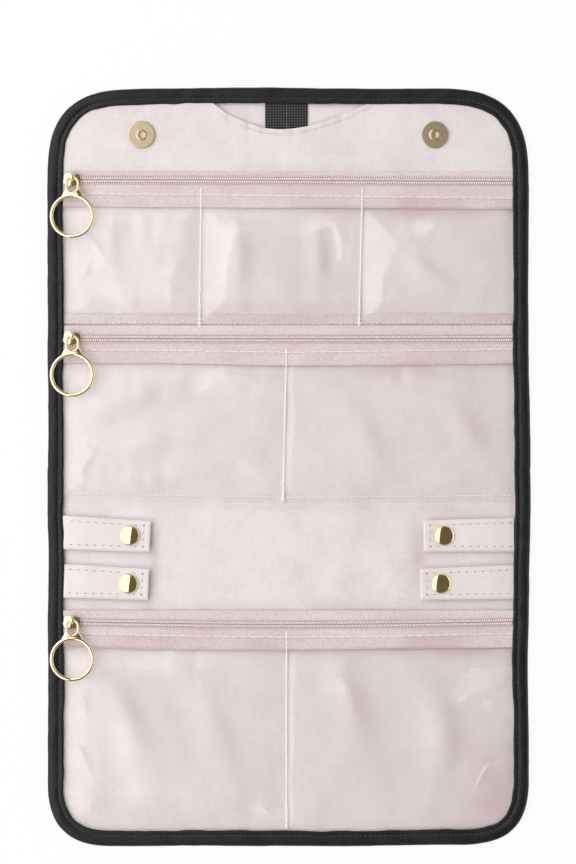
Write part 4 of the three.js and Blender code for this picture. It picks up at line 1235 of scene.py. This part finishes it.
# The cut-out of the pocket, as points of its edge from left to right
DIP = [
    (-43.0, 195.4), (-40.8, 193.1), (-37.2, 190.2), (-33.4, 187.3), (-29.4, 185.2), (-25.4, 183.3), (-19.6, 181.1),
    (-13.8, 179.3), (-8.6, 178.5), (-3.7, 178.3), (3.6, 178.8), (10.6, 180.0), (18.0, 182.1), (25.4, 184.6),
    (34.6, 188.4), (43.5, 192.6), (47.0, 195.0),
]
OFF_THE_CASE = 230
HEM_ROW = 2.7  # how far below the edge the hem is sewn
POCKET_LOW, POCKET_HALF, POCKET_TOP = 156.35, 124.2, 4.05
DISCS = [(-77.5, 175.3), (77.5, 175.3)]


def dip_height(x):
    """Where the pocket's edge runs in the cut-out, and off the case beside it."""
    return softened(DIP, x, np.linspace(-60, 60, 241), 3, OFF_THE_CASE)


def build_hanger_pocket():
    """The second satin layer across the top, its hemmed cut-out, and the hem's stitches."""
    xs = np.unique(np.concatenate([np.linspace(-POCKET_HALF, POCKET_HALF, 125), np.linspace(-46, 50, 97)]))
    probe = np.linspace(150, TOP_Y - CLOTH_INSET, 500)
    reach = half_width(probe, CLOTH_INSET)
    limit = np.array([probe[reach >= abs(value)].max() for value in xs])
    top = np.minimum(limit, dip_height(xs))
    x, y = grid_between(xs, POCKET_LOW, top, 30)
    depth = dip_height(x) - y
    hem = 0.25 * smoothstep(4.0, 3.2, depth) - 0.3 * bell(depth - HEM_ROW, 0.6)
    gathers = 0.42 * value_noise(x / 2.6, 5, 131) * np.exp(-np.clip(depth, 0, None) / 4) * (depth < 20)
    wave = 0.22 * fbm(x, y, 30, 3, 133) + 0.16 * pucker(x, y, 156.4, 9, 6, 137)
    wave += 0.14 * value_noise(x / 7 + y / 60, y / 50, 139) * smoothstep(180, 160, y)
    z = POCKET_TOP + np.clip(hem + gathers + wave, -0.32, 0.5)
    edge = inner_distance(x, y)
    z = np.where(edge < 2, POCKET_TOP + (z - POCKET_TOP) * smoothstep(-1, 2, edge), z)
    for cx, cy in DISCS:
        near = smoothstep(13, 8, np.hypot(x - cx, y - cy))
        z = z * (1 - near) + 4.12 * near
    made = piece("hanger_pocket_satin", Shape().slab(x, y, z, z - 0.35), SATIN, "satin_lining", body="top_panel",
                 replaces=["hanger_pocket_panel"])
    # Painted shade as on the lining, and a deeper pink in dots along the hem's sewn line
    sewn = smoothstep(0.8, 0, np.abs(depth - HEM_ROW)) * np.clip(1 + 1.4 * value_noise(x / 1.4, 3, 133), 0, 2)
    paint(made, "deep", painted_shade(x, y) + 0.26 * sewn)
    xs = np.linspace(-40, 43, 90)
    seam = points_of(xs, dip_height(xs) - HEM_ROW, 4.22)
    build_stitches("hanger_pocket_stitches", seam[seam[:, 1] < 191.5], 2.7, 2.0, 0.22, "top_panel",
                   finish=PINK_THREAD, slot="satin_lining", seed=60)


def build_loop():
    """Webbing folded flat: two legs side by side, cut to the slant of the fold that joins them."""
    shape = Shape()
    centre, gap, width, low, root = -0.9, 0.3, 11.1, 161.2, 195.0
    share = np.linspace(0, 1, 52)
    for side in (-1, 1):
        inner = centre + side * gap / 2
        grid = grid_between(inner + side * width * share, low + width * 0.5 * share, root, 130)
        x, y = (v[:, ::side] for v in grid)
        rib = 0.07 * np.cos((x - centre) / RIB_X * 2 * PI) * np.cos(y / RIB_Y * 2 * PI)
        roll = -0.22 * smoothstep(0.92, 1, np.abs(2 * np.abs(x - inner) / width - 1))
        z = 3.3 + rib + roll + 0.1 * fbm(x, y, 14, 2, 151)
        shape.slab(x, y, z, z - 0.5)
    piece("hanging_loop_webbing", shape, WEBBING, "black_webbing", body="hanging_loop", replaces=["hanging_loop"])


build_hanger_pocket()
build_loop()


# ---------------------------------------------------------------- discs, caps, tabs

DISC_SEAT = 4.25
KEEPER_Y = -120.7
# Turned profiles as (radius, height) from the axis below to the axis above
MAGNET_PROFILE = [
    (0, -1.1), (1.15, -1.1), (1.2, 0), (6.9, 0), (7.1, 0.08), (7.15, 0.25), (7.15, 0.8), (7.1, 0.98), (6.98, 1.07),
    (6.8, 1.1), (6.5, 1.1), (3.3, 1.1), (2.9, 1.1), (2.72, 1.14), (2.6, 1.28), (2.5, 1.6), (2.38, 1.74), (2.2, 1.8),
    (1.95, 1.8), (1.72, 1.76), (1.55, 1.62), (1.45, 1.35), (1.35, 1.16), (1.2, 1.1), (0.8, 1.1), (0, 1.1),
]
KEEPER_PROFILE = [
    (0, 0.02), (2.0, 0.05), (2.2, 0.22), (2.5, 0.05), (6.7, 0.05), (7.1, 0.15), (7.15, 0.4), (7.0, 0.55), (1.2, 0.55),
    (1.2, 1.1), (0, 1.1),
]
CAP_BASE, CAP_TOP = 5.9, 2.0
CAP_BALL = 14.0  # the radius of the ball that its dome is part of
CAP_LEAN = math.tan(math.radians(4.5))
CAP_PROFILE = [
    (0, -1.15), (1.4, -1.15), (1.4, 0), (4.95, 0.0), (5.15, 0.06), (5.25, 0.22), (5.27, 0.5), (5.2, 0.76),
    (5.06, 0.95), (4.88, 1.08),
    *[(CAP_BALL * math.sin(t), CAP_TOP - CAP_BALL * (1 - math.cos(t))) for t in np.linspace(0.335, 0.02, 14)],
    (0, CAP_TOP),
]
TAB_LOW, TAB_THICK = 4.65, 1.15
TAB_END_ROW = 3.5  # how far from its free end the last row is sewn
TAB_RAIL = 2.6  # how far from its sides the other rows are
TAB_STITCH = 4.24


def build_button(name, profile, place, body, node):
    """A turned disc in pale gold."""
    shape = Shape().turned(profile, place, 64)
    piece(name, shape, PALE_GOLD, "pale_gold_metal", body=body, replaces=[node], crease=50)


def tab_frame(name):
    """Where a tab is sewn down, its directions along and across, and its length."""
    side, root_y, length, lean = TABS[name]
    angle = math.radians(-lean) if side < 0 else PI + math.radians(lean)
    along = np.array([math.cos(angle), math.sin(angle)])
    return np.array([side * TAB_ROOT, root_y]), along, np.array([-along[1], along[0]]), length


def tab_half(distance, length):
    """Half the tab's width along its length."""
    return 8.9 - 0.75 * np.clip(distance / length, 0, 1)


def tab_lift(distance, length):
    """Height of the tab's lower face along its length."""
    rise = 3.7 + (TAB_LOW - 3.7) * smoothstep(0, 12, distance)
    return rise + 0.35 * smoothstep(length - 9, length, distance)


def build_tab(name):
    """A tab with rounded edges and grooves where it is sewn, its threads, painted shade at its needle holes, and its
    snap cap.
    """
    origin, along, across, length = tab_frame(name)
    seed = 160 + list(TABS).index(name)
    cap_at = length - CAP_INSET
    s = np.concatenate([np.linspace(-0.9, 3, 6)[:-1], np.linspace(3, length, 60)])
    w = np.concatenate([[-1.0, -0.985, -0.95], np.linspace(-0.88, 0.88, 19), [0.95, 0.985, 1.0]])
    d, v = np.meshgrid(s, w)
    half = tab_half(d, length)
    from_side = (1 - np.abs(v)) * half
    low = tab_lift(np.clip(d, 0, None), length)
    edge = np.minimum(from_side, np.where(d > length - 2, length - d, 9))
    eased = 1 - smoothstep(0, 0.9, edge)
    rounding = 0.45 * eased + 0.5 * smoothstep(1.6, -0.3, d)
    groove = 0.16 * bell(from_side - TAB_RAIL, 0.35) * (d < length - 2.2)
    groove += 0.16 * bell(d - (length - TAB_END_ROW), 0.35) * (from_side > 2.4)
    fold = 0.2 * bell(d - (length - 2.0), 0.3)
    top = low + TAB_THICK - rounding - groove - fold + 0.05 * fbm(d, v * half, 9, 2, seed + 9)
    flat = smoothstep(7.5, 5.5, np.hypot(d - cap_at, v * half))
    top = top * (1 - flat) + (TAB_LOW + TAB_THICK) * flat
    aside = v * half + 0.1 * fbm(d + 50, v * 0, 11, 2, seed)
    px, py = (origin[k] + along[k] * d + across[k] * aside for k in (0, 1))
    shape = Shape().slab(px, py, top, low + 0.3 * eased)
    on_tab = {"slot": "tab_leather", "body": f"tab_{name}"}
    piece(f"tab_{name}_leather", shape, LEATHER, replaces=[f"tab_{name}"], crease=60, **on_tab)

    threads, hole_shades = Shape(), Shape()
    stops = np.arange(length - TAB_END_ROW, 0.6, -TAB_STITCH)
    rail = tab_half(stops, length) - TAB_RAIL
    last_row = np.full(4, length - TAB_END_ROW), np.linspace(-rail[0], rail[0], 4)
    for distance, sideways in ((stops, rail), (stops, -rail), last_row):
        flat = origin + distance[:, None] * along + sideways[:, None] * across
        points = points_of(*flat.T, tab_lift(distance, length) + 1.0)
        step = np.diff(points, axis=0)
        step /= np.linalg.norm(step, axis=1)[:, None]
        threads.stitches(points[:-1] + step * 0.85, points[1:] - step * 0.85, 0.22, dip=0.1)
        # Dark marks of painted shade at the needle holes
        hole_shades.threads(points, step[0] * 0.62, 0.3, flat=0.5)
    piece(f"tab_{name}_threads", threads, PINK_THREAD, **on_tab)
    piece(f"tab_{name}_needle_hole_shades", hole_shades, HOLE_SHADE, **on_tab)

    cap = Shape().turned(CAP_PROFILE, (*(origin + along * cap_at), CAP_BASE), 56, CAP_LEAN * along)
    piece(f"snap_cap_{name}_dome", cap, CAP_GOLD, "gold_metal", body=f"tab_{name}",
          replaces=[f"snap_cap_{name}"], crease=50)


for side, (x, y) in zip(("left", "right"), DISCS):
    build_button(f"magnet_button_{side}", MAGNET_PROFILE, (x, y, DISC_SEAT), "top_panel", f"magnet_disc_{side}")
    build_button(f"keeper_button_{side}", KEEPER_PROFILE, (x, KEEPER_Y, 0), "bottom_panel", f"keeper_disc_{side}")
for name in TABS:
    build_tab(name)
# The hidden steel parts stay as they are in CAD
for name in [f"snap_{part}_{tab}" for tab in TABS for part in ("socket", "stud")] + [
        "magnet_washer_left", "magnet_washer_right"]:
    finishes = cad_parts[name].data.materials
    finishes.clear()
    finishes.append(STEEL)


# ---------------------------------------------------------------- floor, light and world

FLOOR_REACH = 6.0
FLOOR_GLOW = 0.92  # the share of plain white that the camera sees in the floor


def build_floor():
    """A white floor that glows where it is seen, straight or in a gloss."""
    mesh = bpy.data.meshes.new("floor")
    corners = [(x * FLOOR_REACH, y * FLOOR_REACH, 0) for x, y in ((-1, -1), (1, -1), (1, 1), (-1, 1))]
    mesh.from_pydata(corners, [], [(0, 1, 2, 3)])
    made = bpy.data.objects.new("floor", mesh)
    bpy.context.scene.collection.objects.link(made)
    finish = material("floor_white", (0.97, 0.97, 0.97), 0.9)
    tree = finish.node_tree
    rays = add_node(tree, "ShaderNodeLightPath").outputs
    seen = rays["Is Camera Ray"]
    for kind in ("Is Glossy Ray", "Is Transmission Ray"):
        seen = add_node(tree, "ShaderNodeMath", {0: seen, 1: rays[kind]}, operation="MAXIMUM").outputs[0]
    share = add_node(tree, "ShaderNodeMath", {0: seen, 1: FLOOR_GLOW}, operation="MULTIPLY").outputs[0]
    glow = add_node(tree, "ShaderNodeEmission", {"Strength": 1.0}).outputs[0]
    plain = tree.nodes["Principled BSDF"].outputs[0]
    mix = add_node(tree, "ShaderNodeMixShader", {0: share, 1: plain, 2: glow}).outputs[0]
    tree.links.new(mix, tree.nodes["Material Output"].inputs["Surface"])
    mesh.materials.append(finish)


def add_lamp(name, place, width, height, radiance):
    """A softbox that points at the middle of the case."""
    lamp = bpy.data.lights.new(name, "AREA")
    lamp.shape = "RECTANGLE"
    lamp.size, lamp.size_y = width, height
    lamp.energy = radiance * 4 * width * height
    made = bpy.data.objects.new(name, lamp)
    made.location = place
    made.rotation_euler = (-Vector(place)).to_track_quat("-Z", "Y").to_euler()
    bpy.context.scene.collection.objects.link(made)


def build_world():
    """A bright room with a dark ceiling; what it lights without gloss is an even grey."""
    world = bpy.data.worlds.new("studio")
    bpy.context.scene.world = world
    world.use_nodes = True
    tree = world.node_tree
    tree.nodes.clear()
    direction = add_node(tree, "ShaderNodeTexCoord").outputs["Generated"]
    upward = add_node(tree, "ShaderNodeSeparateXYZ", {0: direction}).outputs["Z"]
    levels = {"Value": upward, "From Min": 0.2, "From Max": 0.65, "To Min": 1.0, "To Max": 0.17}
    ceiling = add_node(tree, "ShaderNodeMapRange", levels).outputs["Result"]
    room = add_node(tree, "ShaderNodeBackground", {"Strength": ceiling}).outputs[0]
    plain = add_node(tree, "ShaderNodeBackground", {"Strength": 0.24}).outputs[0]
    diffuse = add_node(tree, "ShaderNodeLightPath").outputs["Is Diffuse Ray"]
    mix = add_node(tree, "ShaderNodeMixShader", {0: diffuse, 1: room, 2: plain}).outputs[0]
    add_node(tree, "ShaderNodeOutputWorld", {"Surface": mix})


build_floor()
add_lamp("left_softbox", (-1.0, 0.13, 1.28), 3.5, 1.95, 1.62)
add_lamp("right_softbox", (1.54, 0.07, 0.67), 2.2, 0.9, 0.95)
build_world()
bpy.context.scene.view_settings.view_transform = "Standard"
